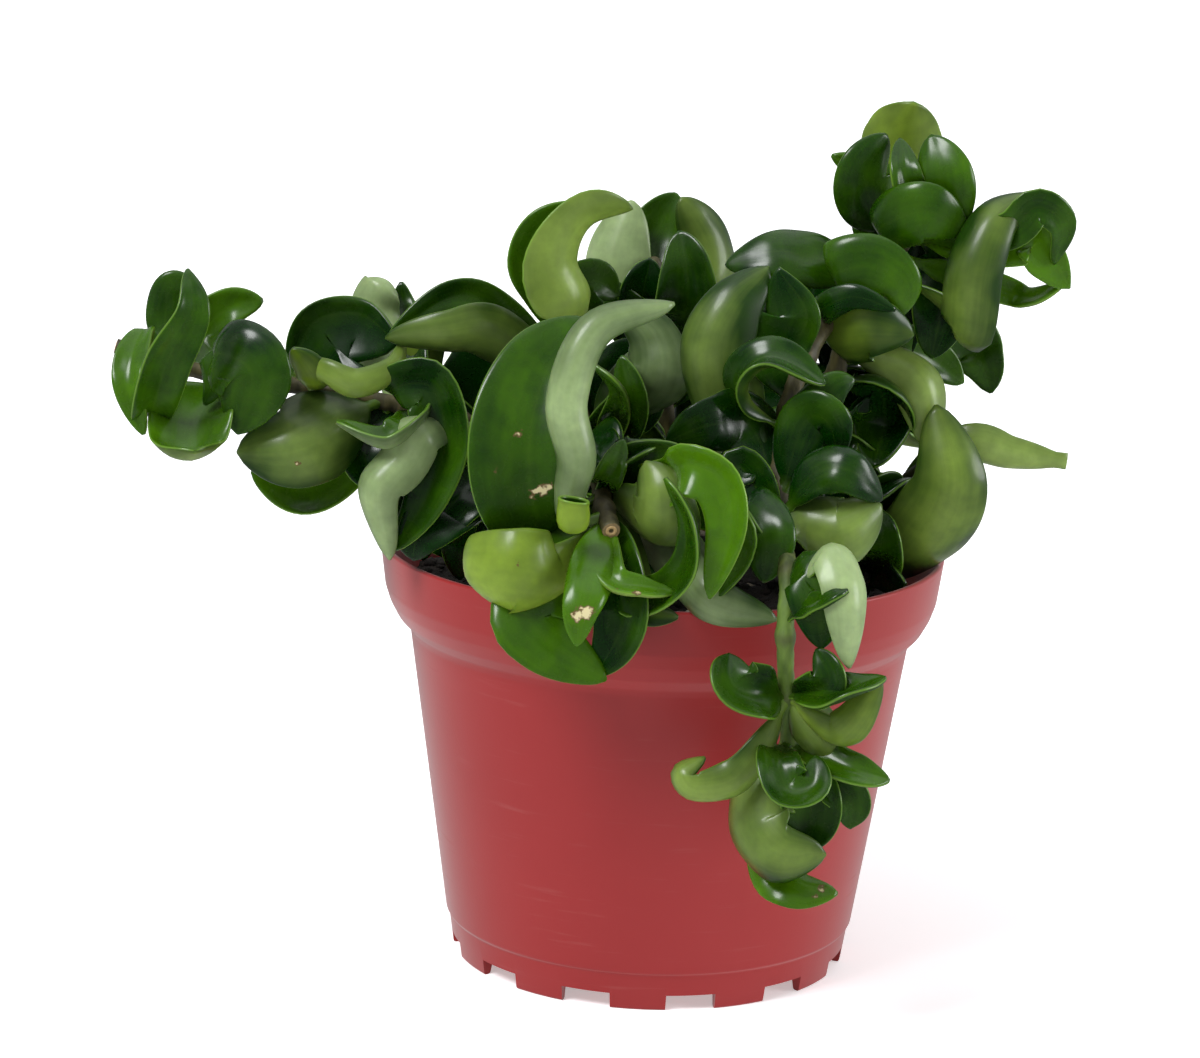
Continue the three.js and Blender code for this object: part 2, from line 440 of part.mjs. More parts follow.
// A place on the blade's middle surface, at a share along the leaf and an offset of -1 to 1 across it, and
// the way from there to its upper face.
function bladePoint({ centre, normal, side }, share, offset, { halfWidths, curls, tipHalf }) {
  const fullness = fullnessAt(share);
  const hand = offset > 0 ? 0 : 1;
  const sign = offset > 0 ? 1 : -1;
  const reach = Math.abs(offset);
  const half = Math.max(halfWidths[hand] * fullness, PETIOLE_HALF * (1 - share) + tipHalf * share);
  const turn = toRadians(curls[hand]) * (0.3 + 0.7 * fullness);
  const keel = toRadians(KEEL_DEG) * (0.4 + 0.6 * fullness);
  const across = (half * Math.sin(turn * reach)) / turn;
  const rise = (half * (1 - Math.cos(turn * reach))) / turn;
  const lateral = across * Math.cos(keel) - rise * Math.sin(keel);
  const height = rise * Math.cos(keel) + across * Math.sin(keel);
  const angle = turn * reach + keel * Math.min(1, 4 * reach);
  const place = centre.clone().addScaledVector(side, lateral * sign).addScaledVector(normal, height);
  const outward = normal.clone().multiplyScalar(Math.cos(angle));
  outward.addScaledVector(side, -Math.sin(angle) * sign);
  const taper = 0.55 + 0.45 * Math.min(1, 1.6 * fullness);
  let thickness = Math.max(MARGIN_THICKNESS, MIDRIB_THICKNESS * (1 - 0.62 * reach ** 3) * taper);
  const stalk = Math.max(0, 1 - share / PETIOLE_SHARE);
  thickness = Math.max(thickness, 2 * PETIOLE_HALF * stalk * (1 - reach ** 2));
  return { place, offset: outward.multiplyScalar(thickness / 2) };
}

function leafGeometry(points, face, width, curls, tipHalf = TIP_HALF) {
  const halfWidths = Array.isArray(width) ? width : [width / 2, width / 2];
  const length = points[1].distanceTo(points[0]) + points[points.length - 1].distanceTo(points[1]);
  const steps = length > LONG_LEAF ? 5 : length > SHORT_LEAF ? 4 : 3;
  const strips = halfWidths[0] + halfWidths[1] >= WIDE_LEAF ? 4 : 2;
  const frames = midribFrames(points, face, steps);
  const form = { halfWidths, curls, tipHalf };
  const upper = [];
  const lower = [];
  frames.forEach((frame, i) => {
    for (let j = 0; j <= strips; j++) {
      const { place, offset } = bladePoint(frame, i / steps, (2 * j) / strips - 1, form);
      upper.push(place.clone().add(offset));
      lower.push(place.clone().sub(offset));
    }
  });
  const half = upper.length;
  const at = (i, j) => i * (strips + 1) + j;
  const index = [];
  const edge = (p, q) => index.push(p, q, q + half, p, q + half, p + half);
  const face3 = (p, q, r) => index.push(p, q, r, p + half, r + half, q + half);
  for (let i = 0; i < steps; i++) {
    for (let j = 0; j < strips; j++) {
      const [a, b, c, d] = [at(i, j), at(i + 1, j), at(i + 1, j + 1), at(i, j + 1)];
      if ((i + j) % 2) {
        face3(a, b, c);
        face3(a, c, d);
      } else {
        face3(a, b, d);
        face3(b, c, d);
      }
    }
    edge(at(i + 1, 0), at(i, 0));
    edge(at(i, strips), at(i + 1, strips));
  }
  for (let j = 0; j < strips; j++) {
    edge(at(0, j), at(0, j + 1));
    edge(at(steps, j + 1), at(steps, j));
  }
  const geometry = new THREE.BufferGeometry().setFromPoints([...upper, ...lower]);
  geometry.setIndex(index);
  return geometry;
}

// A low leaf arches out from its stem at a compass angle, with its upper face up.
function lowLeafGeometry(curve, [distance, compass, length]) {
  const base = curve.getPointAt(distance / curve.getLength());
  const outward = new THREE.Vector3(1, 0, 0).applyAxisAngle(UP, toRadians(compass));
  const rise = length * LOW_LEAF_RISE;
  const middle = base.clone().addScaledVector(outward, length / 2).addScaledVector(UP, rise);
  const tip = base.clone().addScaledVector(outward, length).addScaledVector(UP, rise / 2);
  return leafGeometry([base, middle, tip], UP, length * LOW_LEAF_WIDTH, [LOW_LEAF_CURL, LOW_LEAF_CURL]);
}

function vineSolid({ low, stems, leaves }) {
  const curves = stems.map(stemCurve);
  const pieces = stems.map((stem, i) => stemSolid(stem, curves[i]));
  for (const leaf of low) pieces.push(solidOf(lowLeafGeometry(curves[0], leaf)));
  for (const [stem, share, points, face, ...form] of leaves) {
    const path = [curves[stem].getPointAt(share), ...points.map(placeOf)];
    pieces.push(solidOf(leafGeometry(path, new THREE.Vector3(...face), ...form)));
  }
  return pieces.reduce((whole, piece) => whole.add(piece));
}

// Materials
const potPlastic = new THREE.MeshStandardMaterial({ color: 0xa54642, roughness: 0.45, metalness: 0 });
const pottingMix = new THREE.MeshStandardMaterial({ color: 0x1c1512, roughness: 1, metalness: 0 });
const waxyLeaf = new THREE.MeshStandardMaterial({ color: 0x2f5f20, roughness: 0.3, metalness: 0 });

const roots = Object.values(VINES).flatMap(({ stems }) => stems.filter(({ root }) => root));
const plant = new THREE.Group();
plant.add(meshOf("pot", makePot(), potPlastic));
plant.add(meshOf("soil", makeSoil(roots), pottingMix));
for (const [name, vine] of Object.entries(VINES)) {
  plant.add(meshOf(`vine_${name}`, vineSolid(vine), waxyLeaf));
}

export default plant;
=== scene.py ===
import itertools
import math
import random

import bpy
import numpy as np
from mathutils import Matrix, Vector


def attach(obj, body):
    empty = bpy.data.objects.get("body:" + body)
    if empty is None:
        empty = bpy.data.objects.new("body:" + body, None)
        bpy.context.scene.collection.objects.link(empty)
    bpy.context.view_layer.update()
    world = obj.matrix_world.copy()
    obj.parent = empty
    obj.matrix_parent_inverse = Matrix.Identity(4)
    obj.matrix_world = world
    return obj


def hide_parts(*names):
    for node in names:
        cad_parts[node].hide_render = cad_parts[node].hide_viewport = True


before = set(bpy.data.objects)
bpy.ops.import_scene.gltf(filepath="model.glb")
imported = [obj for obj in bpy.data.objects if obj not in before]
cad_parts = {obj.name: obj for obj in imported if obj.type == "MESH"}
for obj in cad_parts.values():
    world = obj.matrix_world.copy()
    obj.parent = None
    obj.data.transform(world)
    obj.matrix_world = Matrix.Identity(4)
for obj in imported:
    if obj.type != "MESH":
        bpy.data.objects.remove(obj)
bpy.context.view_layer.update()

# A curled-leaf wax plant in a plastic nursery pot. Sizes are in millimetres, and meshes are made in metres.
MM = 0.001
SEED = 11

# Driving dimensions of the pot, as in the part
RIM_RADIUS = 60
POT_HEIGHT = 90
WALL = 1.2
FLOOR_THICKNESS = 1.3
FOOT_RADIUS = 42.2
FOOT_STEP_Z = 8
COLLAR_Z = 72
PAD_RADIUS = 27
CHANNEL_LIFT = 3.6
NOTCH_COUNT = 12
NOTCH_WIDTH = 10.5
NOTCH_HEIGHT = 3.4
FIRST_NOTCH_DEG = -77
DRAIN_COUNT = 6
DRAIN_RADIUS = 3
POT_SEGMENTS = 240
NOTCH_START = FOOT_RADIUS - 3.4
NOTCH_END = FOOT_RADIUS + 2.6
DRAIN_SIDES = 32
CORNER_RADIUS = 0.5
CORNER_STEPS = 4
SHARP_DEG = 32

# Driving dimensions of the potting mix
SOIL_TOP = 80
SOIL_RADIUS = 55.4
SOIL_RINGS = 60
SOIL_SPOKES = 150
SOIL_EYE = 0.4
SOIL_SIDE_DEPTH = 3
SOIL_FOOT_Z = 64
SOIL_FOOT_SHARE = 0.92
CRUMB_COUNT = 620
CRUMB_SPREAD = 53
CRUMB_SIZES = (0.5, 1.7)
NEIGHBOUR_GAP = 1.1
ROOT_HEIGHTS = (62, 74, 80, 85)

# Driving dimensions of the stems and leaves
STEM_SIDES = 20
STEM_STEP = 0.8
NODE_SPACING = 13
NODE_SWELL = 0.24
NODE_REACH = 1.5
NODE_MARK = 1.1
STEM_FOOT_SIZE = 1.08
STEM_TAPER = 0.18
STEM_WOBBLE = 0.05
GREEN_BLEND = 0.15
LEAF_ROWS = 40
HALF_STRIPS = 8
UP = (0, 0, 1)
FACE_SHARE = 0.55
PETIOLE_HALF = 1.3
PETIOLE_SHARE = 0.1
TIP_HALF = 0.35
BLADE_SKEW = 0.85
FOOT_SHARPNESS = 0.8
TIP_SHARPNESS = 0.58
MIDRIB_THICKNESS = 1.7
MARGIN_THICKNESS = 0.95
MARGIN_THINNING = 0.55
MARGIN_ROUNDING = 24
KEEL_DEG = 10
KEEL_REACH = 0.2
LIP_DEG = -26
LIP_SHARPNESS = 7
WAVE_SHARE = 0.05
WAVE_ALONG = 9.5
QUILT_ALONG = 17
QUILT_ACROSS = 5
QUILT_HEIGHT = 0.35
LOW_LEAF_CURL = 50
LOW_LEAF_RISE = 0.3
LOW_LEAF_WIDTH = 0.95
LOW_LEAF_TONES = (0, 0.3)
DRAWN_TONES = (0.05, 0.45)
DRAWN_GREYS = (0, 0.35)
INNER_COUNT = 9
INNER_START = 22
INNER_REACH = 66
INNER_RADIUS = 50
INNER_LENGTHS = (12, 18)
INNER_WIDTH = 1.1
INNER_CURLS = (35, 75)
# Tones mostly below the darkest leaf's: painted shade deep in the plant
INNER_SHADE_TONES = (-0.2, 0.1)

# The photograph's camera. Leaves and stems were placed as it sees them, so a point is [x, z, depth]: where it
# is seen on the upright plane through the pot's axis, and how far behind that plane it lies.
EYE = (0.0, -800.0, 280.0)
CAMERA_YAW_DEG = -0.96
CAMERA_PITCH_DEG = 13.2
CAMERA_ROLL_DEG = 2.0
LENS_MM = 115.74
SENSOR_MM = 36

# Each vine has its stems and its leaves. A stem has a root [x, y] in the pot, or none where it branches
# off, its radius and the points that it passes. A leaf is [stem, place along the stem, points of its
# midrib, the way that its upper face looks, width, curl in degrees] and, where its tip is blunt, half the
# tip's width. A curl of two numbers is [left, right], and so is a width, then of each half.
# The low leaves, deep in the pot, are [millimetres up the first stem, compass angle in degrees, length].
VINES = {
"left": {
 "low": [[25, 150, 15], [27, 250, 13], [34, 80, 12]],
 "stems": [{"root": [-14, 4], "radius": 1.8, "points": [
   [-22, 100, -4], [-42, 114, -14], [-66, 119, -20], [-80, 121, -22], [-98, 123, -24],
   [-117, 128, -26]]}],
 "leaves": [
  [0, 0.84, [[-100, 113, -33], [-101, 105, -42], [-100, 106, -49]], [0, -1, 0.4], 20, 45],
  [0, 0.86, [[-95, 127, -34], [-88, 123, -38], [-91, 110, -36]], [0, -1, 0.2], 17, -25],
  [0, 0.82, [[-98, 130, -14], [-93, 137, -14], [-86, 139, -14]], [0.3, -1, 1], 12, 45],
  [0, 0.92, [[-109.4, 114, -35.5], [-106, 126, -41.5], [-101, 136, -43], [-102, 145, -39.5]],
   [0.3, -1, 0], 11, 40],
  [0, 0.93, [[-106.5, 134, -22], [-105.5, 141, -22], [-101, 143, -22]], [0, -1, 0.2], 8.5, -30],
  [0, 0.95, [[-111, 131, -28], [-114, 121, -36], [-111, 109, -38]], [-0.3, -1, 0], 8, 40],
  [0, 0.84, [[-96.5, 127, -31], [-96, 121, -34], [-98, 116, -34]], [-0.4, -1, 0], 7, -25],
  [0, 0.62, [[-71, 113, -30], [-80, 108, -35], [-91, 106, -32]], [0, 1, -0.3], 22, 40],
  [0, 0.74, [[-79, 126, -14], [-75, 135, -12], [-65, 137, -12], [-57, 131, -18]], [0, -1, 0],
   [4, 17], [30, 35]],
  [0, 0.6, [[-63, 136, -5], [-60.5, 143, -4], [-59, 142, 3]], [0, 1, 0], 13, 40],
  [0, 0.56, [[-56, 137, 0], [-57, 144, 2]], [0, -1, 0], 9, 40],
  [0, 0.52, [[-54, 126, -8], [-49, 137, -8]], [0, 1, 0], 14, 45],
  [0, 0.55, [[-54, 113, -36], [-60, 109, -40], [-70, 113.5, -40]], [0, 0.5, 1], 11, 70],
  [0, 0.47, [[-52, 114, -36], [-57, 106, -40], [-62, 98, -42], [-58, 84, -37]], [0.5, 1, 0], 14, [55, 60]],
  [0, 0.56, [[-58, 121, -29], [-50, 122, -31], [-46.5, 111, -33], [-50, 98, -36], [-57, 86, -36.5]],
   [-0.3, -1, 0], 14, 40],
  [0, 0.45, [[-47, 103, -24], [-46, 92, -30], [-43, 85, -28]], [0, -1, 0.2], 18, 30],
  [0, 0.71, [[-75.5, 122.5, -29], [-79.5, 129, -31]], [0.3, 1, 0], 10, 50],
  [0, 0.6, [[-66, 107, -18], [-76, 98.5, -20], [-88, 102, -19]], [0, -1, 0.3], 14, 45],
  [0, 0.72, [[-74, 124, -30], [-66, 121, -33], [-58, 125, -30], [-56, 132, -25]], [0, 1, 0.4], 8, 50]
 ]},
"middle": {
 "low": [[29, 330, 12], [40, 40, 11], [52, 80, 14]],
 "stems": [{"root": [-4, 14], "radius": 1.8, "points": [[-14, 108, -2], [-22, 126, -12], [-26, 137, -16]]}],
 "leaves": [
  [0, 0.8, [[-37, 133, -26], [-47, 133, -30], [-60, 132, -28]], [0, 1, 0], 13, 40],
  [0, 0.92, [[-18, 142, -24], [-21, 150, -26], [-18, 158, -25], [-9, 161.5, -22]], [-1, 0, 0.2],
   [10, 13], 90],
  [0, 0.9, [[-18, 145, -14], [-11, 143, -12]], [0, -1, 0.3], 12, 30],
  [0, 0.7, [[-4, 124, -25], [-4, 134, -24], [-11, 140, -22]], [0, 1, 0], 17, 45],
  [0, 0.65, [[-8, 120, -26], [-10, 130, -28]], [0, -1, 0], 12, 35],
  [0, 0.6, [[-10, 121, -34], [-16, 128, -36]], [0, -1, 0.3], 7, 40],
  [0, 0.82, [[-36, 138, -18], [-46, 141, -20], [-59, 133, -24]], [0, -1, 0.3], 9, 30],
  [0, 0.94, [[-28, 142, -20], [-31, 150, -22], [-27, 158, -22], [-15, 162, -21]], [0, -1, 0], 8, 35]
 ]},
"back": {
 "low": [[28, 150, 13], [40, 90, 16], [54, 30, 17], [56, 150, 17]],
 "stems": [{"root": [2, 22], "radius": 1.8, "points": [[0, 115, 18], [-2, 135, 14], [-4, 150, 12]]}],
 "leaves": [
  [0, 0.85, [[-12, 148, 12], [-9, 163, 16]], [0.2, 1, 0], 17, 45],
  [0, 0.9, [[-4, 154, 20], [0, 165, 22]], [0, -1, 0], 15, 40],
  [0, 0.85, [[7, 146, 16], [7, 155, 18], [1, 164, 18]], [-0.3, 1, 0], 15, 45],
  [0, 0.8, [[3, 141, 0], [3, 149, -2], [1, 157, 0]], [0, -1, 0], 16, 45],
  [0, 0.75, [[-12, 141, 2], [-18, 146, 4]], [0, -1, 0.3], 12, 30]
 ]},
"right": {
 "low": [[27, 220, 14], [38, 110, 16], [52, 60, 18], [54, 180, 16], [66, 100, 18]],
 "stems": [{"root": [30, 0], "radius": 2.0, "points": [
   [33, 115, -12], [38, 140, -18], [46, 153, -14], [50, 163, -6], [50, 172, 0]]},
  {"radius": 1.8, "points": [
    [38, 142, -18], [33, 139, -26], [27, 127, -36], [24.5, 112, -43], [25, 97, -52], [27, 84, -66],
    [27, 70, -70], [28, 57, -66], [29, 44, -62]]}],
 "leaves": [
  [1, 0.42, [[12, 118, -38], [8, 131, -39], [12, 142, -37], [20, 150, -32]], [0.2, 1, 0], [11, 8], 50],
  [1, 0.3, [[26.5, 133, -34], [28.5, 141, -35], [22, 150, -34]], [0, -1, 0], [12, 3], [-12, 10]],
  [0, 0.78, [[29, 152, -20], [21, 153, -22], [11, 150, -20]], [0, -1, 0.8], 13, -25],
  [0, 0.78, [[34, 149, -26], [41, 151, -28], [47.5, 147.5, -28], [48.5, 141, -26]], [0, -1, 0.2],
   [7, 6], -25],
  [0, 0.72, [[33, 136, -24], [41, 137, -31], [51, 137, -28]], [0, 1, 0.1], 18, 35],
  [1, 0.33, [[17, 121, -43], [16.5, 127, -45], [22, 130.5, -46], [33, 125.5, -46]], [-0.2, -0.5, 1], 12, 50],
  [1, 0.36, [[34, 124, -42], [39, 127, -40]], [0, -1, 0], 9, -30],
  [1, 0.46, [[29, 117, -48], [34, 118, -50], [37, 110, -48]], [0, -1, 0.2], 11, -35],
  [1, 0.56, [[30, 95, -54], [38, 94, -57], [46, 100, -52]], [0, 1, -0.2], [9, 8], 50],
  [1, 0.5, [[32, 106, -54], [39, 107, -56], [46, 101, -52]], [0, -1, 0.5], 10, -25],
  [0, 0.56, [[44, 126, -18], [46, 118, -12], [44, 108, -20]], [-0.2, -1, -0.2], 20, 70],
  [0, 0.62, [[47, 131, -16], [54, 126, -18], [56, 112, -18]], [-0.5, 1, -0.3], 14, 45],
  [0, 0.66, [[54, 132, -6], [62, 127, -4]], [0, -1, 0.3], 12, 40],
  [0, 0.93, [[47, 172, 4], [47, 179, 3], [48.5, 185.7, 0]], [0, 1, 0.3], 20, 45],
  [0, 0.9, [[42, 163, -10], [39, 170, -14], [43, 179, -12]], [0.4, -1, 0], 14, -30],
  [0, 0.9, [[53.5, 161, -14], [55, 170, -18], [52.5, 179, -14]], [-0.3, -1, 0], 15, -30],
  [0, 0.86, [[43, 159, -17], [52, 163, -23], [61, 159, -18]], [0, -1, 0.2], 13, -25],
  [0, 0.88, [[42, 159, -8], [38, 163, -8]], [0, -1, 0], 9, -30],
  [0, 0.92, [[42, 170, 6], [32, 174, 6]], [0, -1, 0], 8, 30],
  [0, 0.8, [[57, 143, -18], [61, 137, -24], [62, 151, -26], [67, 163, -22], [76, 167.5, -15]],
   [0.4, 1, 0], 15, 50],
  [0, 0.85, [[74, 160, -14], [79, 155, -15], [83, 148, -13]], [-0.3, -1, 0.3], [4, 9], 35],
  [0, 0.82, [[69, 147, -9], [75, 145.5, -12], [82, 149, -12]], [0, -1, 0.4], 7, 35],
  [0, 0.75, [[61, 137, 4], [66, 131, 4], [68, 125, 2]], [0, -1, 0], 17, 30],
  [0, 0.86, [[55, 156, -10], [56.5, 145, -12], [55, 132, -12]], [0, -1, 0], 15, 35],
  [1, 0.5, [[18, 115, -41], [9, 116, -47], [0, 112, -46]], [0, -1, 0.4], 14, -25],
  [1, 0.52, [[16, 107, -50], [15, 99, -53]], [0, -1, 0], 10, 30],
  [1, 0.6, [[17, 97, -56], [22, 92, -62], [22, 82, -62]], [0, -1, 0.2], 14, -35],
  [1, 0.7, [[35, 90, -70], [39, 84, -76], [40.5, 75, -78], [41, 64, -75]], [-0.4, 1, 0], 11, 45],
  [1, 0.7, [[31, 85, -70], [34, 77, -73], [35, 68, -72]], [0, -1, 0.2], 12, -30],
  [1, 0.72, [[36, 79, -78], [40, 81, -78]], [0, -1, 1], 5, 30],
  [1, 0.87, [[22, 57, -72], [16, 59, -74], [15, 66, -70]], [0.4, -1, 0.6], 14, 55],
  [1, 0.87, [[37, 61, -74], [34, 68, -72]], [0, -1, 0], 9, 35],
  [1, 0.87, [[36, 57, -74], [42, 59, -76], [49, 62, -73]], [0, -0.6, 1], 9, 45],
  [1, 0.87, [[24, 46, -70], [18, 37, -72], [9, 35, -73], [6, 39, -72], [11, 42.5, -70]],
   [0.2, 1, 0.6], 10, 45],
  [1, 0.98, [[26.5, 43, -72], [29, 36, -76], [34.5, 37, -76], [35, 44, -72]], [0.2, -1, 0.6], 11, 45],
  [1, 0.98, [[21, 39, -64], [20, 27, -68], [27.5, 20, -72], [38, 22, -70]], [0.3, 1, 0.5], 22, 50],
  [1, 0.98, [[34, 34, -66], [34, 22, -66]], [0, -1, 0.4], 14, 40],
  [1, 0.98, [[27, 21, -60], [31, 14, -64], [41, 13, -64]], [0, -1, 0.6], 12, -30],
  [1, 0.98, [[42, 41, -70], [51, 39, -70]], [0, -1, 1], 9, 45],
  [1, 0.98, [[42, 36, -66], [43, 28, -64]], [0, -1, 0], 10, 35],
  [1, 0.87, [[35, 49, -68], [39, 42, -66]], [0, 1, 0], 11, 45],
  [0, 0.86, [[50, 164, -13], [47.5, 170, -17], [46, 178, -12]], [0.2, -1, 0], 8, 45],
  [1, 0.87, [[37, 49, -71], [42, 51, -74], [48, 61.5, -72]], [0, 1, 0], 9.5, 40],
  [0, 0.85, [[69, 160, -20], [75, 165, -22], [80.5, 161.5, -20], [79.5, 153, -16]], [0, -1, 0], 9, 30],
  [0, 0.7, [[31.5, 141, -29], [38, 144.5, -33], [47, 142, -33]], [0, -1, 0.3], 6, -30]
 ]},
"side": {
 "low": [[25, 90, 12], [36, 60, 14]],
 "stems": [{"root": [42, 6], "radius": 1.8, "points": [[47, 98, -4], [52, 106, -8], [60, 112, -10]]}],
 "leaves": [
  [0, 0.3, [[46.8, 86, -10], [55.7, 92.3, -22], [60.5, 105, -26], [56.5, 122, -20]], [-0.1, 1, 0],
   [11, 11], 45],
  [0, 0.62, [[62, 112, -12], [73, 111.5, -12], [84.8, 110.8, -12]], [0, 1, 0.3], 11, 45, 2],
  [0, 0.35, [[47, 90, -26], [46, 99, -24]], [0, -1, 0], 13, 35]
 ]},
"front": {
 "low": [[27, 180, 13], [36, 250, 12]],
 "stems": [{"root": [-6, -12], "radius": 2.1, "points": [
   [-9, 100, -26], [-13, 104, -40], [-13, 98, -56], [-11, 92, -66]]}],
 "leaves": [
  [0, 0.85, [[-25.5, 93.5, -62], [-29, 108.5, -64], [-26, 125.5, -58], [-17, 137.5, -50]], [0, -1, 0],
   [12.5, 11], 20],
  [0, 0.94, [[-20, 93, -66], [-19.8, 100, -69], [-18.8, 107, -70], [-21.4, 120, -70],
   [-15.5, 136, -66], [0.5, 141.5, -60]],
   [0, 1, 0], 12, 80],
  [0, 0.9, [[-20.5, 80.5, -67], [-30.5, 79.5, -75], [-40.5, 81, -69], [-40, 81.5, -58]],
   [0, 1, 0.2], 23, 45],
  [0, 0.92, [[-15, 82, -74], [-17, 74, -79], [-17.5, 66.5, -78]], [0, -1, 0], 9.5, -35],
  [0, 0.86, [[-27, 76, -68], [-25, 68, -71], [-11, 59, -70]], [0, -1, 0.1], 16, -20],
  [0, 0.86, [[-8, 78, -68], [-8, 70, -70], [-13, 60, -68]], [-0.3, -1, 0], 14, 35],
  [0, 0.9, [[-11, 82, -72], [-4, 79.5, -74], [3, 79, -73]], [0, -0.7, 1], 7.5, 55],
  [0, 0.78, [[-4, 92, -61], [-2, 99, -66], [-4, 107.5, -62]], [0.1, 1, 0], 21, 60],
  [0, 0.7, [[-11, 100, -50], [-7, 108, -52], [3, 111, -54]], [0, -1, 0], 9, 40],
  [0, 0.7, [[1, 104, -60], [5, 107, -68], [12, 104, -70], [14.5, 94, -72], [10.5, 78, -72]], [0, -1, 0.1],
   [5, 7], 45],
  [0, 0.82, [[-7, 82, -64], [-1, 80, -68], [5, 86, -71], [5, 95, -73], [0, 104, -73]], [-0.6, -1, 0.3],
   [3, 7], [40, 55]],
  [0, 0.66, [[13, 97, -62], [17, 89, -64], [12, 78, -66]], [0, -1, 0], 10, 30],
  [0, 0.62, [[5, 83.5, -60], [12, 77, -66], [25, 74, -65]], [0, 1, 0.1], 14, 45],
  [0, 0.76, [[-12, 104, -56], [-9, 112, -54]], [0, -1, 0], 7, 40],
  [0, 0.66, [[-8, 108, -52], [-1, 112, -50]], [0, -1, 0.6], 11, 30],
  [0, 0.72, [[-7, 80, -60], [-3, 75, -67], [4, 73.5, -68]], [0, 1, 0.2], 11, 45],
  [0, 0.97, [[-18, 90, -72], [-20.8, 92, -75], [-20.8, 101, -75]], [0, -1, 0], 9, -60]
 ]},
"rear_left": {
 "low": [[25, 200, 15], [33, 290, 14], [38, 160, 15]],
 "stems": [{"root": [-22, 28], "radius": 1.8, "points": [
   [-25, 108, 36], [-31, 116, 47], [-36, 112, 56], [-38, 101, 60], [-37, 88, 61], [-37, 75, 60]]}],
 "leaves": [
  [0, 0.3, [[-32, 114, 38], [-41, 116, 40]], [0, 0.4, 1], 19, 55],
  [0, 0.34, [[-20, 116, 42], [-13, 119, 46]], [0.3, 1, 0.4], 17, 45],
  [0, 0.46, [[-42, 116, 46], [-50, 112, 48]], [-0.5, 0.5, 1], 19, 55],
  [0, 0.5, [[-25, 114, 60], [-18, 110, 64]], [0, 1, 0.5], 18, 45],
  [0, 0.66, [[-42, 104, 65], [-46, 93, 66]], [-1, 0.5, 0.3], 15, 50],
  [0, 0.7, [[-32, 98, 70], [-26, 90, 72]], [0.3, 1, 0.3], 17, 45],
  [0, 0.97, [[-42, 78, 68], [-44, 66, 68]], [-0.3, 1, 0], 15, 45],
  [0, 0.98, [[-34, 72, 68], [-31, 62, 70]], [0.3, 1, 0], 14, 45]
 ]},
"rear_right": {
 "low": [[25, 60, 13], [34, 330, 14], [38, 100, 15]],
 "stems": [{"root": [22, 28], "radius": 1.8, "points": [
   [25, 108, 36], [32, 116, 44], [40, 113, 51], [45, 104, 56], [46, 93, 57]]}],
 "leaves": [
  [0, 0.3, [[18, 114, 42], [10, 118, 46]], [-0.3, 1, 0.5], 18, 50],
  [0, 0.36, [[38, 118, 38], [46, 120, 36]], [0, 0.2, 1], 19, 55],
  [0, 0.56, [[34, 114, 60], [28, 110, 66]], [0, 1, 0.5], 18, 45],
  [0, 0.62, [[49, 114, 50], [56, 113, 48]], [0.3, 0.3, 1], 17, 55],
  [0, 0.8, [[42, 100, 66], [38, 90, 70]], [0, 1, 0.3], 16, 45],
  [0, 0.84, [[51, 100, 60], [54, 92, 62]], [1, 0.6, 0.4], 14, 50],
  [0, 0.98, [[47, 84, 62], [46, 75, 66]], [0.5, 1, 0], 14, 45]
 ]},
"rear_middle": {
 "low": [[25, 0, 13], [27, 180, 14], [38, 250, 13]],
 "stems": [{"root": [2, 42], "radius": 1.8, "points": [
   [2, 107, 46], [0, 115, 55], [-3, 112, 64], [-4, 101, 68], [-4, 88, 68]]}],
 "leaves": [
  [0, 0.36, [[9, 115, 52], [15, 119, 56]], [0, 0.6, 1], 17, 55],
  [0, 0.42, [[-7, 116, 58], [-12, 117, 66]], [-0.2, 1, 0.6], 15, 45],
  [0, 0.6, [[4, 111, 70], [10, 104, 75]], [0.2, 1, 0.4], 17, 45],
  [0, 0.76, [[-11, 100, 75], [-17, 91, 78]], [-0.2, 1, 0.3], 16, 50],
  [0, 0.97, [[-6, 82, 76], [-6, 70, 77]], [-0.3, 1, 0], 16, 45],
  [0, 0.98, [[1, 86, 75], [6, 78, 77]], [0.4, 1, 0], 12, 45]
 ]}
}

# How bright each leaf is, in the table's order, from 0 for dark to 1 for yellow-green. It is partly the
# leaf's own colour, dark when old and yellow-green when young, and partly painted light: painted shade on
# leaves in shadow, a painted highlight, and a painted glow where light shines through a leaf. The vines that
# aren't listed draw theirs at random.
TONES = {
    "left": (0.45, 0.1, 0.45, 0.2, 0.2, 0.5, 0.05, 0.2, 0.05, 0.8, 0.1, 0.4, 0.4, 0.6, 0.05, 0, 0.3, 0.5,
        0.7),
    "middle": (0.3, 0.75, 0.15, 0.2, 0.1, 0.4, 0.2, 0.4),
    "back": (0.95, 0.3, 0.3, 0.2, 0.05),
    "right": (0.12, 0.05, 0.15, 0.35, 0.15, 0.1, 0.1, 0.05, 0.45, 0.05, 0, 0.7, 0.3, 0.75, 0.25, 0.35,
        0.25, 0.2, 0.4, 0.15, 0.7, 0.6, 0.1, 0, 0, 0.05, 0.1, 0.85, 0.1, 0.1, 0.15, 0.1, 0.15, 0.4, 0.15,
        0.25, 0.1, 0.6, 0.4, 0.1, 0.4, 0.3, 0.5, 0.2, 0.05),
    "side": (0.3, 0.85, 0.2),
    "front": (0.2, 0.5, 0.65, 0.6, 0.4, 0, 0.6, 0.4, 0.1, 0.75, 0.25, 0.25, 0.3, 0.3, 0, 0.3, 0.7),
}
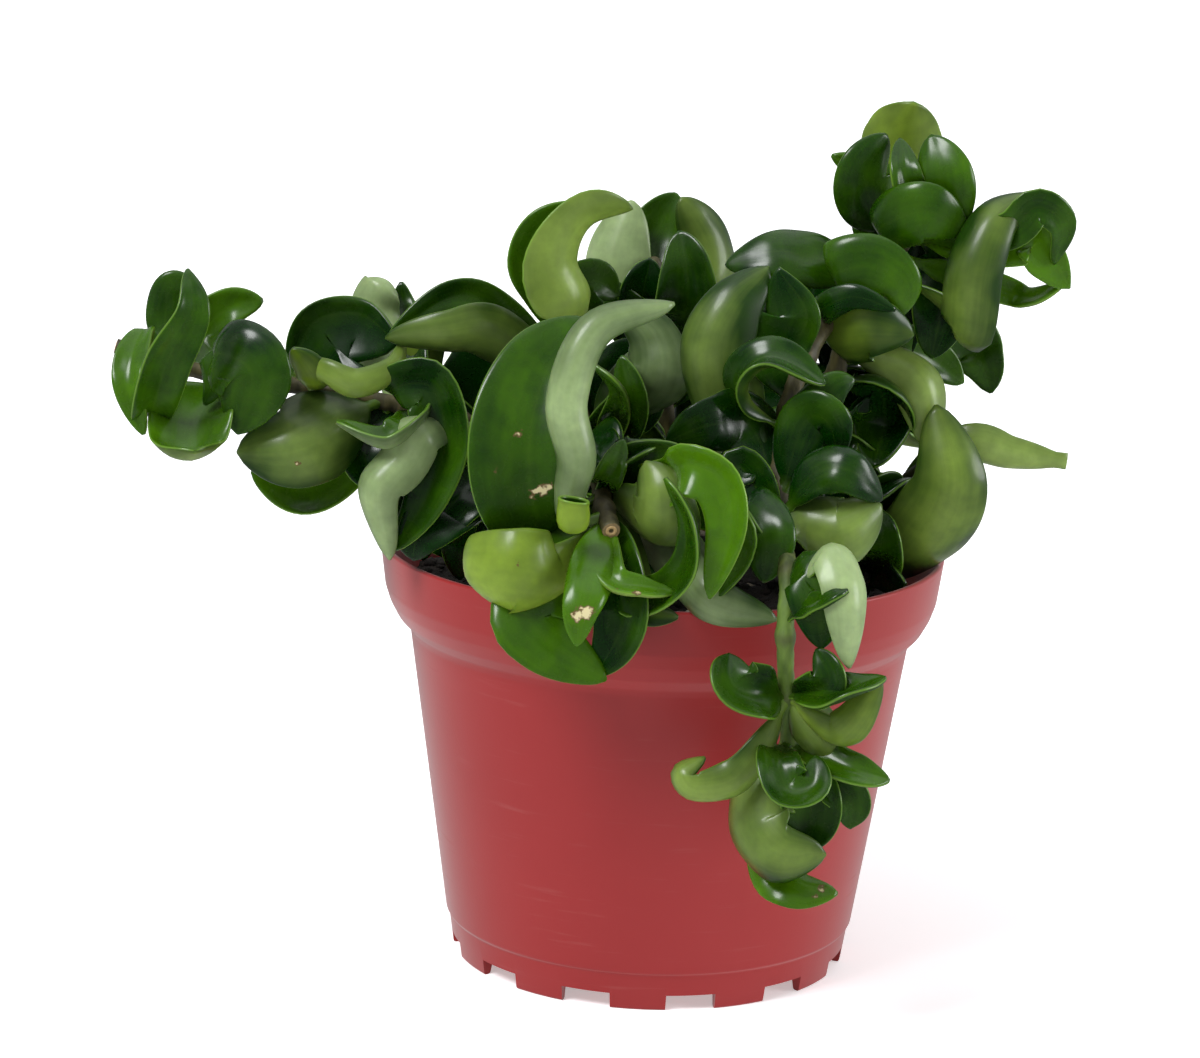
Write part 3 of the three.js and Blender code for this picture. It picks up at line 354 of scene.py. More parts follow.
# Leaves deep in the plant, which the part leaves out, written as the others. They are painted darker than any
# other leaf, as painted shade.
INNER = {
 "left": [
  [0, 0.36, [[-42, 100, -22], [-43, 90, -28], [-43, 80, -29]], [0, -1, 0.2], 14, 30],
  [0, 0.4, [[-48, 104, -14], [-50, 94, -19], [-51, 84, -19]], [0, -1, 0.2], 11, 30],
  [0, 0.55, [[-62, 113, -20], [-64, 106, -24], [-61, 99, -24]], [0, -1, 0], 13, 30],
  [0, 0.42, [[-50, 118, -4], [-52, 106, -2], [-50, 96, -2]], [0, -1, 0.3], 20, 25],
  [0, 0.3, [[-34, 98, -14], [-41, 92, -18], [-46, 86, -18]], [0, -1, 0.5], 18, 25],
  [0, 0.32, [[-38, 102, -10], [-47, 96, -10], [-54, 87, -10]], [0, -1, 0.6], 18, 30],
  [0, 0.4, [[-42, 100, -30], [-48, 92, -34], [-50, 86, -34]], [0, -1, 0.3], 14, 30],
  [0, 0.4, [[-46, 96, -32], [-52, 89, -36], [-53, 84, -34]], [0, -1, 0.3], 16, 25],
  [0, 0.47, [[-50, 108, -30], [-56, 98, -32], [-56, 90, -32]], [0, -1, 0.2], 16, 25],
 ],
 "middle": [
  [0, 0.72, [[-31, 124, 0], [-40, 120, 4], [-46, 112, 4]], [0, -1, 0.2], 26, 25],
  [0, 0.45, [[-22, 106, 4], [-34, 106, 8], [-42, 98, 8]], [0, -1, 0.3], 24, 20],
  [0, 0.66, [[-10, 122, -6], [-8, 134, -4]], [0, -1, 0], 20, 20],
 ],
 "right": [
  [0, 0.66, [[30, 140, 2], [21, 142, 6], [13, 139, 6]], [0, -1, 0.2], 18, 20],
  [0, 0.58, [[24, 124, 2], [15, 124, 6], [9, 130, 6]], [0, -1, 0.2], 20, 20],
  [0, 0.25, [[22, 94, -28], [15, 89, -38], [7, 87, -42]], [0, -0.6, 1], 18, 35],
  [0, 0.6, [[36, 128, -8], [38, 120, -6], [37, 112, -6]], [0, -1, 0], 18, 20],
  [0, 0.75, [[44, 146, -10], [46, 138, -8], [48, 130, -8]], [0, -1, 0], 16, 20],
  [0, 0.7, [[36, 143, -6], [35, 135, -4], [34, 127, -4]], [0, -1, 0], 12, 20],
  [0, 0.84, [[50, 158, -4], [50.5, 152, -4], [49, 146, -6]], [0, -1, 0], 10, 25],
 ],
 "back": [[0, 0.85, [[-6, 143, 4], [-5, 151, 3]], [0, -1, 0], 13, 30]],
 "side": [[0, 0.3, [[46, 88, -14], [50, 84, -24], [52, 83, -28]], [0, -1, 0.4], 14, 30]],
}
# A tone below the darkest leaf's: painted shade on the leaves deep in the plant
INNER_SHADE_TONE = -0.15
# Leaves whose underside is greyer and paler, as on the older shoots
GREY_LEAVES = {"left": (6, 9, 12, 13), "middle": (3,), "back": (0,), "right": (15, 22, 27), "front": (1, 12)}
# The cup at the foot of the strip-like leaf: its foot, its mouth, its radius and its tone. It takes the
# place of the part's solid leaf there. Its rings run up the outside and down the inside: the share of its
# radius, the share of its length, and how near the margin the colour takes it to be.
CUP_LEAF = ("front", 16)
FRONT_CUP = ((-19.2, 91.5, -73.5), (-19.2, 98.6, -75.2), 3.1, 0.6)
CUP_RINGS = (
    (0.15, -0.02, 0.2), (0.6, 0.03, 0.2), (0.9, 0.14, 0.2), (1.04, 0.34, 0.2), (1.05, 0.6, 0.2),
    (0.98, 0.85, 0.3), (1, 0.96, 0.99), (0.97, 1, 1), (0.87, 1, 1), (0.82, 0.94, 0.99), (0.8, 0.7, 0.3),
    (0.7, 0.4, 0.2), (0.1, 0.3, 0.2),
)
# The rings inside the cup take a dark tone: painted shade in its hollow
CUP_SHADED_RINGS = 4
CUP_SHADE_TONE = -0.6
CUP_SIDES = 40
CUP_FLATNESS = 0.8
CUP_SLANT = 0.09
# Stems that are still green for their last part: vine, stem, and the share of the stem where the green starts
GREEN_STEMS = {("right", 1): 0.55}
# Dry scars: the places [x, z] where they are seen from the front, and their radius
SCARS = {
    "front": [
        (-27.6, 99.4, 1.0), (-26.2, 100.3, 1.1), (-24.8, 101, 1.0), (-31, 112, 1.1), (-35.5, 104, 0.7),
        (-17.6, 73.1, 1.2), (-16.2, 73.6, 1.4), (-14.9, 74, 1.1), (-9.5, 80, 0.9), (-5, 79.2, 0.9),
        (-1, 80, 0.9), (-30, 84, 0.6),
    ],
    "right": [(37.5, 14.5, 1.2), (36.5, 12.5, 1.0), (38, 16.5, 1.0), (22, 31, 0.7), (45.5, 100.5, 0.8)],
    "left": [(-78, 104, 0.7)],
}
SCAR_SEARCH = 1.5
# The rings that close a stem's end: the share of its radius, the rise past its end, and how bare the wood is
CUT_END = (
    (0.9, 0.05, 0.5), (0.66, -0.1, 0.35), (0.6, 0.12, 1.0), (0.3, 0.1, 1.0), (0.22, -0.35, 0.1),
    (0.04, -0.4, 0.1),
)
ROUND_END = ((0.92, 0.5, 0), (0.7, 1.0, 0), (0.4, 1.3, 0), (0.05, 1.45, 0))
# Stems that end in a cut
CUT_STEMS = (("left", 0), ("front", 0))
# The part of a noise's values that is spread to the full range, and where a scar begins and is whole
NOISE_RANGE = (0.3, 0.7)
SCAR_BORDER = (0.46, 0.53)


# Curves and frames
def place_of(point):
    """The real place of a point [x, z, depth] that was read from the front."""
    x, z, depth = point
    nearness = (depth - EYE[1]) / -EYE[1]
    return np.array([EYE[0] + (x - EYE[0]) * nearness, depth, EYE[2] + (z - EYE[2]) * nearness])


def smooth_path(points, count, fine=24):
    """count + 1 evenly spaced points on a Catmull-Rom curve, and its length."""
    points = np.array(points, float)
    points = np.vstack([2 * points[0] - points[1], points, 2 * points[-1] - points[-2]])
    t = (np.arange(fine) / fine)[:, None]
    runs = []
    for a, b, c, d in zip(points, points[1:], points[2:], points[3:]):
        curve = 2 * b + (c - a) * t + (2 * a - 5 * b + 4 * c - d) * t**2 + (3 * b - a - 3 * c + d) * t**3
        runs.append(curve / 2)
    path = np.vstack([*runs, points[-2:-1]])
    travelled = np.r_[0, np.cumsum(np.linalg.norm(np.diff(path, axis=0), axis=1))]
    even = np.linspace(0, travelled[-1], count + 1)
    return np.stack([np.interp(even, travelled, path[:, k]) for k in range(3)], -1), travelled[-1]


def unit(vectors):
    return vectors / np.linalg.norm(vectors, axis=-1, keepdims=True)


def around(count):
    """Evenly spaced angles."""
    return np.linspace(0, 2 * np.pi, count, endpoint=False)


def carried_normals(tangents, start_normal, start):
    """The normal at one row, carried along the path both ways without twist."""
    normals = np.zeros_like(tangents)
    normals[start] = unit(start_normal - (start_normal @ tangents[start]) * tangents[start])
    for rows, back in ((range(start + 1, len(tangents)), 1), (range(start - 1, -1, -1), -1)):
        for i in rows:
            last = normals[i - back]
            normals[i] = unit(last - (last @ tangents[i]) * tangents[i])
    return normals


# A mesh in the making: its vertices, faces and their named values
class Shape:
    VALUES = ("tone", "under", "edge", "along", "grey", "cut", "scar")

    def __init__(self):
        self.vertices, self.faces, self.kinds = [], [], []
        self.values = {name: [] for name in self.VALUES}
        self.count = 0

    def add(self, vertices, faces, kind=0, **values):
        vertices = np.asarray(vertices, float)
        self.vertices.append(vertices)
        self.faces += [tuple(i + self.count for i in face) for face in faces]
        self.kinds += [kind] * len(faces)
        for name in self.VALUES:
            self.values[name].append(np.broadcast_to(values.get(name, 0.0), len(vertices)))
        self.count += len(vertices)

    def scar(self, marks):
        """Sets how deep in a dry scar each vertex lies, from 0 outside to 1 in the middle."""
        vertices = np.vstack(self.vertices)
        nearness = (vertices[:, 1] - EYE[1]) / -EYE[1]
        seen_x = EYE[0] + (vertices[:, 0] - EYE[0]) / nearness
        seen_z = EYE[2] + (vertices[:, 2] - EYE[2]) / nearness
        depth = np.zeros(len(vertices))
        for x, z, radius in marks:
            close = np.hypot(seen_x - x, seen_z - z) < SCAR_SEARCH
            middle = place_of((x, z, vertices[close, 1].min()))
            depth = np.maximum(depth, 1 - np.linalg.norm(vertices - middle, axis=1) / (2 * radius))
        self.values["scar"] = [depth]

    def make(self, name, materials):
        mesh = bpy.data.meshes.new(name)
        mesh.from_pydata((np.vstack(self.vertices) * MM).tolist(), [], self.faces)
        for value_name, parts in self.values.items():
            attribute = mesh.attributes.new(value_name, "FLOAT", "POINT")
            attribute.data.foreach_set("value", np.concatenate(parts).astype(np.float32))
        for material in materials:
            mesh.materials.append(material)
        mesh.polygons.foreach_set("material_index", self.kinds)
        mesh.polygons.foreach_set("use_smooth", [True] * len(self.faces))
        mesh.update()
        thing = bpy.data.objects.new(name, mesh)
        bpy.context.scene.collection.objects.link(thing)
        return thing


def ring_faces(rings, sides, flip=False):
    """Faces of a closed tube of rings, with both ends filled."""
    faces = []
    for i in range(rings - 1):
        for k in range(sides):
            n = (k + 1) % sides
            faces.append((i * sides + k, i * sides + n, (i + 1) * sides + n, (i + 1) * sides + k))
    faces.append(tuple(range(sides))[::-1])
    faces.append(tuple((rings - 1) * sides + k for k in range(sides)))
    return [face[::-1] for face in faces] if flip else faces


# Leaves
def fullness(share):
    """The share of the full width at each row: none along the stalk, then a blade with a pointed tip."""
    blade = np.clip((share - PETIOLE_SHARE) / (1 - PETIOLE_SHARE), 0, 1) ** BLADE_SKEW
    return np.sin(np.pi * blade).clip(0) ** np.where(blade < 0.5, FOOT_SHARPNESS, TIP_SHARPNESS)


def grown(full, least):
    """A column that runs from its least value, where a row has no width, to 1."""
    return (least + (1 - least) * full)[:, None]


def leaf_half(full, share, half_width, curl, lip_deg, tip_half):
    """The offsets across one half of each row, its heights and its surface angle, from midrib to margin."""
    reach = np.sin(np.linspace(0, np.pi / 2, HALF_STRIPS + 1))
    half = np.maximum(half_width * full, PETIOLE_HALF * (1 - share) + tip_half * share)[:, None]
    turn = np.radians(curl) * grown(full, 0.3)
    keel = np.radians(KEEL_DEG) * grown(full, 0.4)
    lip = np.radians(lip_deg) * full[:, None]

    def angle_at(q):
        return keel * np.minimum(1, q / KEEL_REACH) + turn * q + lip * q**LIP_SHARPNESS

    between = (reach[1:] + reach[:-1]) / 2
    steps = np.diff(reach) * half
    angles = angle_at(between)
    zero = np.zeros((len(share), 1))
    across = np.hstack([zero, np.cumsum(np.cos(angles) * steps, axis=1)])
    height = np.hstack([zero, np.cumsum(np.sin(angles) * steps, axis=1)])
    return reach, across, height, angle_at(reach)


def leaf_thickness(reach, share, full):
    taper = grown(np.minimum(1, 1.6 * full), 0.55)
    at_rib = MIDRIB_THICKNESS * (1 - MARGIN_THINNING * reach**3) * taper
    blade = np.maximum(MARGIN_THICKNESS * grown(full, 0.6), at_rib)
    blade = blade * np.sqrt(np.clip(1 - reach**MARGIN_ROUNDING, 0, 1))
    stalk = np.clip(1.6 * (1 - share / PETIOLE_SHARE), 0, 1)[:, None]
    round_stalk = 2 * PETIOLE_HALF * np.sqrt(np.clip(1 - reach**2, 0, 1))
    return blade * (1 - stalk) + np.maximum(blade, round_stalk) * stalk


def pair(value):
    """A value for the left and the right, from a pair or from one number for both."""
    return value if isinstance(value, (list, tuple)) else (value, value)


def add_leaf(shape, points, face, width, curl, chance, tone, grey, tip_half=TIP_HALF):
    """A thick blade, curled about a curved midrib towards its upper face, with a stalk and rolled margins."""
    centres, _ = smooth_path(points, LEAF_ROWS)
    tangents = unit(np.gradient(centres, axis=0))
    normals = carried_normals(tangents, np.array(face, float), round(LEAF_ROWS * FACE_SHARE))
    sides = np.cross(normals, tangents)
    share = np.linspace(0, 1, LEAF_ROWS + 1)
    full = fullness(share)
    half_widths = width if isinstance(width, (list, tuple)) else (width / 2, width / 2)
    lip_deg = LIP_DEG * chance.uniform(0.5, 1.3)
    wave = WAVE_SHARE * sum(half_widths)
    waves = [(wave * chance.uniform(0.4, 1), chance.uniform(0, 6.3)) for _ in range(2)]
    upper, lower = [], []
    for half_width, turn, (size, phase), sign in zip(half_widths, pair(curl), waves, (1, -1)):
        reach, across, height, angle = leaf_half(full, share, half_width, turn, lip_deg, tip_half)
        height = height + size * np.sin(WAVE_ALONG * share + phase)[:, None] * full[:, None] * reach**2
        quilt = np.sin(QUILT_ALONG * share + 2 * phase)[:, None] * np.sin(QUILT_ACROSS * reach + phase)
        height = height + QUILT_HEIGHT * (quilt * reach) * full[:, None]
        normal, side = normals[:, None], sign * sides[:, None]
        place = centres[:, None] + across[..., None] * side + height[..., None] * normal
        outward = np.cos(angle)[..., None] * normal - np.sin(angle)[..., None] * side
        offset = outward * leaf_thickness(reach, share, full)[..., None] / 2
        upper.append(place + offset)
        lower.append(place - offset)
    # One closed loop a row: over the upper face from right margin to left, and back under it
    over, back = [upper[1][:, ::-1], upper[0][:, 1:]], [lower[0][:, -2::-1], lower[1][:, 1:-1]]
    loop = np.concatenate(over + back, axis=1)
    edge = np.concatenate([reach[::-1], reach[1:], reach[-2::-1], reach[1:-1]])
    under = np.r_[np.zeros(2 * HALF_STRIPS + 1), np.ones(2 * HALF_STRIPS - 1)]
    under[[0, 2 * HALF_STRIPS]] = 0.5
    rows, loop_count = loop.shape[:2]
    edge, under, along = np.tile(edge, rows), np.tile(under, rows), np.repeat(share, loop_count)
    faces = ring_faces(rows, loop_count, flip=True)
    shape.add(loop.reshape(-1, 3), faces, tone=tone, grey=grey, edge=edge, under=under, along=along)


def low_leaf(path, length_of_stem, distance, compass, length):
    """The midrib of a leaf that arches out from its stem at a compass angle, with its upper face up."""
    base = path[round(distance / length_of_stem * (len(path) - 1))]
    outward = np.array([math.cos(math.radians(compass)), math.sin(math.radians(compass)), 0])
    rise = np.array([0, 0, length * LOW_LEAF_RISE])
    return [base, base + outward * length / 2 + rise, base + outward * length + rise / 2]


def add_random_leaves(shape, name, stem_path):
    """Leaves close to the stem, deep among the others, which the part leaves out, mostly painted darker than
    any other leaf as painted shade.
    """
    chance = random.Random(f"{SEED} inner {name}")
    path, length_of_stem = stem_path
    for _ in range(INNER_COUNT):
        distance = chance.uniform(INNER_START, min(INNER_REACH, 0.8 * length_of_stem))
        compass, length = chance.uniform(0, 360), chance.uniform(*INNER_LENGTHS)
        points = low_leaf(path, length_of_stem, distance, compass, length)
        if math.hypot(*points[-1][:2]) > INNER_RADIUS:
            points = low_leaf(path, length_of_stem, distance, compass + 180, length)
        if math.hypot(*points[-1][:2]) > INNER_RADIUS:
            continue
        curl = (chance.uniform(*INNER_CURLS), chance.uniform(*INNER_CURLS))
        add_leaf(shape, points, UP, length * INNER_WIDTH, curl, chance, chance.uniform(*INNER_SHADE_TONES), 0)


def add_cup(shape, foot, mouth, radius, tone):
    """A short cup-shaped leaf, rolled round the foot of the leaf that stands in it, with a pale open rim and
    painted shade inside.
    """
    foot, mouth = place_of(foot), place_of(mouth)
    axis = unit(mouth - foot)
    side = unit(np.cross(axis, (0, 1, 0.2)))
    back = np.cross(axis, side)
    length = np.linalg.norm(mouth - foot)
    turn = around(CUP_SIDES)
    ring = np.cos(turn)[:, None] * side + CUP_FLATNESS * np.sin(turn)[:, None] * back
    slant = 1 + CUP_SLANT * np.sin(turn + 0.6)
    rings = [foot + ring * radius * r + (z * slant * length)[:, None] * axis for r, z, _ in CUP_RINGS]
    # Painted shade: the rings inside the cup are darkened
    tones = [tone] * (len(rings) - CUP_SHADED_RINGS) + [CUP_SHADE_TONE] * CUP_SHADED_RINGS
    tone, edge = np.repeat(tones, CUP_SIDES), np.repeat([margin for _, _, margin in CUP_RINGS], CUP_SIDES)
    faces = ring_faces(len(rings), CUP_SIDES)
    shape.add(np.concatenate(rings), faces, tone=tone, under=1.0, edge=edge, along=0.5)


# Stems
def stem_points(stem):
    start = [np.array([*stem["root"], z], float) for z in ROOT_HEIGHTS] if "root" in stem else []
    return [*start, *map(place_of, stem["points"])]


def add_stem(shape, stem, green_from, end):
    """A round stem with a swelling at each node, closed by its end. Returns its middle line and length."""
    _, length = smooth_path(stem_points(stem), 10)
    rows = round(length / STEM_STEP)
    centres, _ = smooth_path(stem_points(stem), rows)
    tangents = unit(np.gradient(centres, axis=0))
    normals = carried_normals(tangents, np.array([0.2, 1.0, 0.1]), 0)
    sides = np.cross(normals, tangents)
    share = np.linspace(0, 1, rows + 1)
    travelled = share * length
    from_node = np.abs((travelled / NODE_SPACING) % 1 - 0.5) * NODE_SPACING
    wobble = STEM_WOBBLE * np.sin(travelled * 1.9) * np.sin(travelled * 0.7)
    swell = NODE_SWELL * np.exp(-((from_node / NODE_REACH) ** 2)) + wobble
    radius = stem["radius"] * (STEM_FOOT_SIZE - STEM_TAPER * share) * (1 + swell)
    turn = around(STEM_SIDES)
    ridges = 1 + 0.035 * np.sin(3 * turn[None] + 0.4 * travelled[:, None]) + 0.02 * np.sin(7 * turn)[None]
    ring = np.cos(turn)[None, :, None] * normals[:, None] + np.sin(turn)[None, :, None] * sides[:, None]
    body = centres[:, None] + ring * (radius[:, None] * ridges)[..., None]
    caps = [centres[-1] + ring[-1] * radius[-1] * size + tangents[-1] * rise for size, rise, _ in end]
    vertices = np.concatenate([body, np.array(caps)])
    green = np.clip((share - green_from) / GREEN_BLEND, 0, 1)
    green = np.r_[green, np.full(len(end), green[-1])]
    cut = np.r_[np.zeros(rows + 1), [bareness for _, _, bareness in end]]
    node = np.r_[np.exp(-((from_node / NODE_MARK) ** 2)), np.zeros(len(end))]
    green, cut, node = (np.repeat(value, STEM_SIDES) for value in (green, cut, node))
    faces = ring_faces(len(vertices), STEM_SIDES)
    shape.add(vertices.reshape(-1, 3), faces, kind=1, tone=green, cut=cut, edge=node)
    return centres, length


# Pot
def rounded(profile, radius):
    """The profile with each inner corner replaced by a small arc."""
    points = [np.array(point, float) for point in profile]
    out = [points[0]]
    for before, corner, after in zip(points, points[1:], points[2:]):
        back, on = before - corner, after - corner
        reach = min(radius, 0.45 * np.linalg.norm(back), 0.45 * np.linalg.norm(on))
        start, end = corner + unit(back) * reach, corner + unit(on) * reach
        for t in np.linspace(0, 1, CORNER_STEPS):
            out.append((1 - t) ** 2 * start + 2 * t * (1 - t) * corner + t**2 * end)
    return [*out, points[-1]]


def pot_profile():
    """The pot's section: out under the floor, up the outside, over the rim and down the inside."""
    outer = [
        (FOOT_RADIUS, 0),
        (FOOT_RADIUS + 1.2, FOOT_STEP_Z),
        (FOOT_RADIUS + 1.8, FOOT_STEP_Z + 0.6),
        (RIM_RADIUS - 6.8, COLLAR_Z - 1.5),
        (RIM_RADIUS - 6.2, COLLAR_Z),
        (RIM_RADIUS - 3.8, COLLAR_Z + 2.5),
        (RIM_RADIUS - 2.2, COLLAR_Z + 5.5),
        (RIM_RADIUS - 1.2, COLLAR_Z + 8.5),
        (RIM_RADIUS, POT_HEIGHT - 0.3),
    ]
    inner = [(radius - WALL, z) for radius, z in outer[2:8]]
    floor_top = CHANNEL_LIFT + FLOOR_THICKNESS
    return [
        (0, 0),
        (PAD_RADIUS, 0),
        (PAD_RADIUS + 1.5, CHANNEL_LIFT),
        (FOOT_RADIUS - 2.4, CHANNEL_LIFT),
        (FOOT_RADIUS - 1.6, 0),
        *outer,
        (RIM_RADIUS - 0.4, POT_HEIGHT),
        (RIM_RADIUS - WALL, POT_HEIGHT),
        *inner[::-1],
        (FOOT_RADIUS - 1, floor_top),
        (PAD_RADIUS + 0.8, floor_top),
        (PAD_RADIUS - 0.7, FLOOR_THICKNESS),
        (0, FLOOR_THICKNESS),
    ]


def turned(profile, segments):
    """Vertices and faces of a profile turned about Z, which starts and ends on the axis."""
    inner = profile[1:-1]
    angles = around(segments)
    vertices = [(r * math.cos(a), r * math.sin(a), z) for a in angles for r, z in inner]
    vertices += [(0, 0, profile[0][1]), (0, 0, profile[-1][1])]
    count = len(inner)
    bottom, top = segments * count, segments * count + 1
    faces = []
    for k in range(segments):
        here, there = k * count, (k + 1) % segments * count
        faces += [(here + i, there + i, there + i + 1, here + i + 1) for i in range(count - 1)]
        faces += [(bottom, there, here), (top, here + count - 1, there + count - 1)]
    return vertices, faces


def box_between(low, high, angle):
    """A box between two corners, turned about Z."""
    corners = [(x, y, z) for x in (low[0], high[0]) for y in (low[1], high[1]) for z in (low[2], high[2])]
    c, s = math.cos(angle), math.sin(angle)
    vertices = [(c * x - s * y, s * x + c * y, z) for x, y, z in corners]
    return vertices, [(0, 1, 3, 2), (4, 6, 7, 5), (0, 4, 5, 1), (2, 3, 7, 6), (0, 2, 6, 4), (1, 5, 7, 3)]


def drill(angle, ring):
    """The rod that cuts one drain hole, at a compass angle and a distance from the axis."""
    turn = around(DRAIN_SIDES)
    centre = np.array([ring * math.cos(angle), ring * math.sin(angle)])
    vertices = [
        (centre[0] + DRAIN_RADIUS * math.cos(t), centre[1] + DRAIN_RADIUS * math.sin(t), z)
        for z in (1.0, 2 * CHANNEL_LIFT)
        for t in turn
    ]
    return vertices, ring_faces(2, DRAIN_SIDES)


def make_pot(material):
    pot_shape = Shape()
    pot_shape.add(*turned(rounded(pot_profile(), CORNER_RADIUS), POT_SEGMENTS))
    pot = pot_shape.make("pot_shell", [material])
    cutters = Shape()
    for i in range(NOTCH_COUNT):
        angle = math.radians(FIRST_NOTCH_DEG) + i * 2 * math.pi / NOTCH_COUNT
        low = (NOTCH_START, -NOTCH_WIDTH / 2, -NOTCH_HEIGHT)
        cutters.add(*box_between(low, (NOTCH_END, NOTCH_WIDTH / 2, NOTCH_HEIGHT), angle))
    for i in range(DRAIN_COUNT):
        cutters.add(*drill(i * 2 * math.pi / DRAIN_COUNT, (PAD_RADIUS + FOOT_RADIUS) / 2))
    cutter = cutters.make("pot_cutter", [material])
    cut = pot.modifiers.new("notches", "BOOLEAN")
    cut.operation, cut.solver, cut.object = "DIFFERENCE", "EXACT", cutter
    finished = bpy.data.meshes.new_from_object(pot.evaluated_get(bpy.context.evaluated_depsgraph_get()))
    pot.modifiers.clear()
    pot.data = finished
    bpy.data.objects.remove(cutter)
    finished.set_sharp_from_angle(angle=math.radians(SHARP_DEG))
    return pot


# Potting mix
def add_crumb(shape, chance, centre, size):
    """A lumpy crumb: a ball of twenty triangles, squashed, with its twelve corners pushed in and out."""
    golden = (1 + 5**0.5) / 2
    corners = [(0, a, b * golden) for a in (-1, 1) for b in (-1, 1)]
    corners = corners + [(b, 0, a) for _, a, b in corners] + [(a, b, 0) for _, a, b in corners]
    points = [unit(np.array(corner)) for corner in corners]
    faces = []
    for i, j, k in itertools.combinations(range(len(points)), 3):
        gaps = [np.linalg.norm(points[p] - points[q]) for p, q in ((i, j), (j, k), (i, k))]
        if max(gaps) < NEIGHBOUR_GAP:
            outward = np.cross(points[j] - points[i], points[k] - points[i]) @ points[i] > 0
            faces.append((i, j, k) if outward else (i, k, j))
    squash = np.array([chance.uniform(0.7, 1.3), chance.uniform(0.7, 1.3), chance.uniform(0.5, 0.9)])
    lumps = [point * squash * size * chance.uniform(0.75, 1.2) for point in points]
    shape.add([centre + lump for lump in lumps], faces, tone=chance.random())


def soil_height(x, y):
    """The lumpy top of the mix, which falls a little at the pot's wall."""
    radius = np.hypot(x, y)
    lumps = np.sin(0.31 * x + 1) * np.cos(0.27 * y) + np.sin(0.53 * radius)
    fine = 0.35 * np.sin(1.7 * x + 0.9 * y) * np.sin(1.3 * y - 0.6 * x)
    fine = fine + 0.2 * np.sin(3.1 * x) * np.sin(2.9 * y)
    return SOIL_TOP + 0.6 * lumps + fine - 0.9 * np.clip((radius - 50) / 5.4, 0, 1)


def make_soil(material):
    shape = Shape()
    radii = np.linspace(SOIL_EYE, SOIL_RADIUS, SOIL_RINGS)
    turn = around(SOIL_SPOKES)
    x, y = radii[:, None] * np.cos(turn), radii[:, None] * np.sin(turn)
    top = np.stack([x, y, soil_height(x, y)], -1)
    side_z = np.full(SOIL_SPOKES, SOIL_TOP - SOIL_SIDE_DEPTH)
    below = np.stack([SOIL_RADIUS * np.cos(turn), SOIL_RADIUS * np.sin(turn), side_z], -1)
    foot = below * [SOIL_FOOT_SHARE, SOIL_FOOT_SHARE, 0] + [0, 0, SOIL_FOOT_Z]
    vertices = np.concatenate([top, below[None], foot[None]])
    shape.add(vertices.reshape(-1, 3), ring_faces(len(vertices), SOIL_SPOKES), tone=0.4)
    chance = random.Random(SEED)
    for _ in range(CRUMB_COUNT):
        radius, angle = CRUMB_SPREAD * math.sqrt(chance.random()), chance.uniform(0, 2 * math.pi)
        x, y = radius * math.cos(angle), radius * math.sin(angle)
        add_crumb(shape, chance, np.array([x, y, float(soil_height(x, y))]), chance.uniform(*CRUMB_SIZES))
    return shape.make("soil_crumbs", [material])


# Vines
def make_vine(name, vine, materials):
    shape = Shape()
    chance = random.Random(f"{SEED} {name}")
    paths = []
    for index, stem in enumerate(vine["stems"]):
        end = CUT_END if (name, index) in CUT_STEMS else ROUND_END
        paths.append(add_stem(shape, stem, GREEN_STEMS.get((name, index), 1), end))

    def grow(leaf, tone, grey):
        stem, share, points, face, width, curl, *blunt = leaf
        path = paths[stem][0]
        base = path[round(share * (len(path) - 1))]
        add_leaf(shape, [base, *map(place_of, points)], face, width, curl, chance, tone, grey, *blunt)

    for distance, compass, length in vine["low"]:
        points = low_leaf(*paths[0], distance, compass, length)
        tone = chance.uniform(*LOW_LEAF_TONES)
        add_leaf(shape, points, UP, length * LOW_LEAF_WIDTH, LOW_LEAF_CURL, chance, tone, 0)
    add_random_leaves(shape, name, paths[0])
    for leaf in INNER.get(name, ()):
        grow(leaf, INNER_SHADE_TONE, 0)
    for index, leaf in enumerate(vine["leaves"]):
        random_tone = chance.uniform(*DRAWN_TONES)
        grey = 1.0 if index in GREY_LEAVES.get(name, ()) else chance.uniform(*DRAWN_GREYS)
        if (name, index) != CUP_LEAF:
            grow(leaf, TONES[name][index] if name in TONES else random_tone, grey)
    if name == CUP_LEAF[0]:
        add_cup(shape, *FRONT_CUP)
    shape.scar(SCARS.get(name, ()))
    return shape.make(f"leafy_{name}", materials)


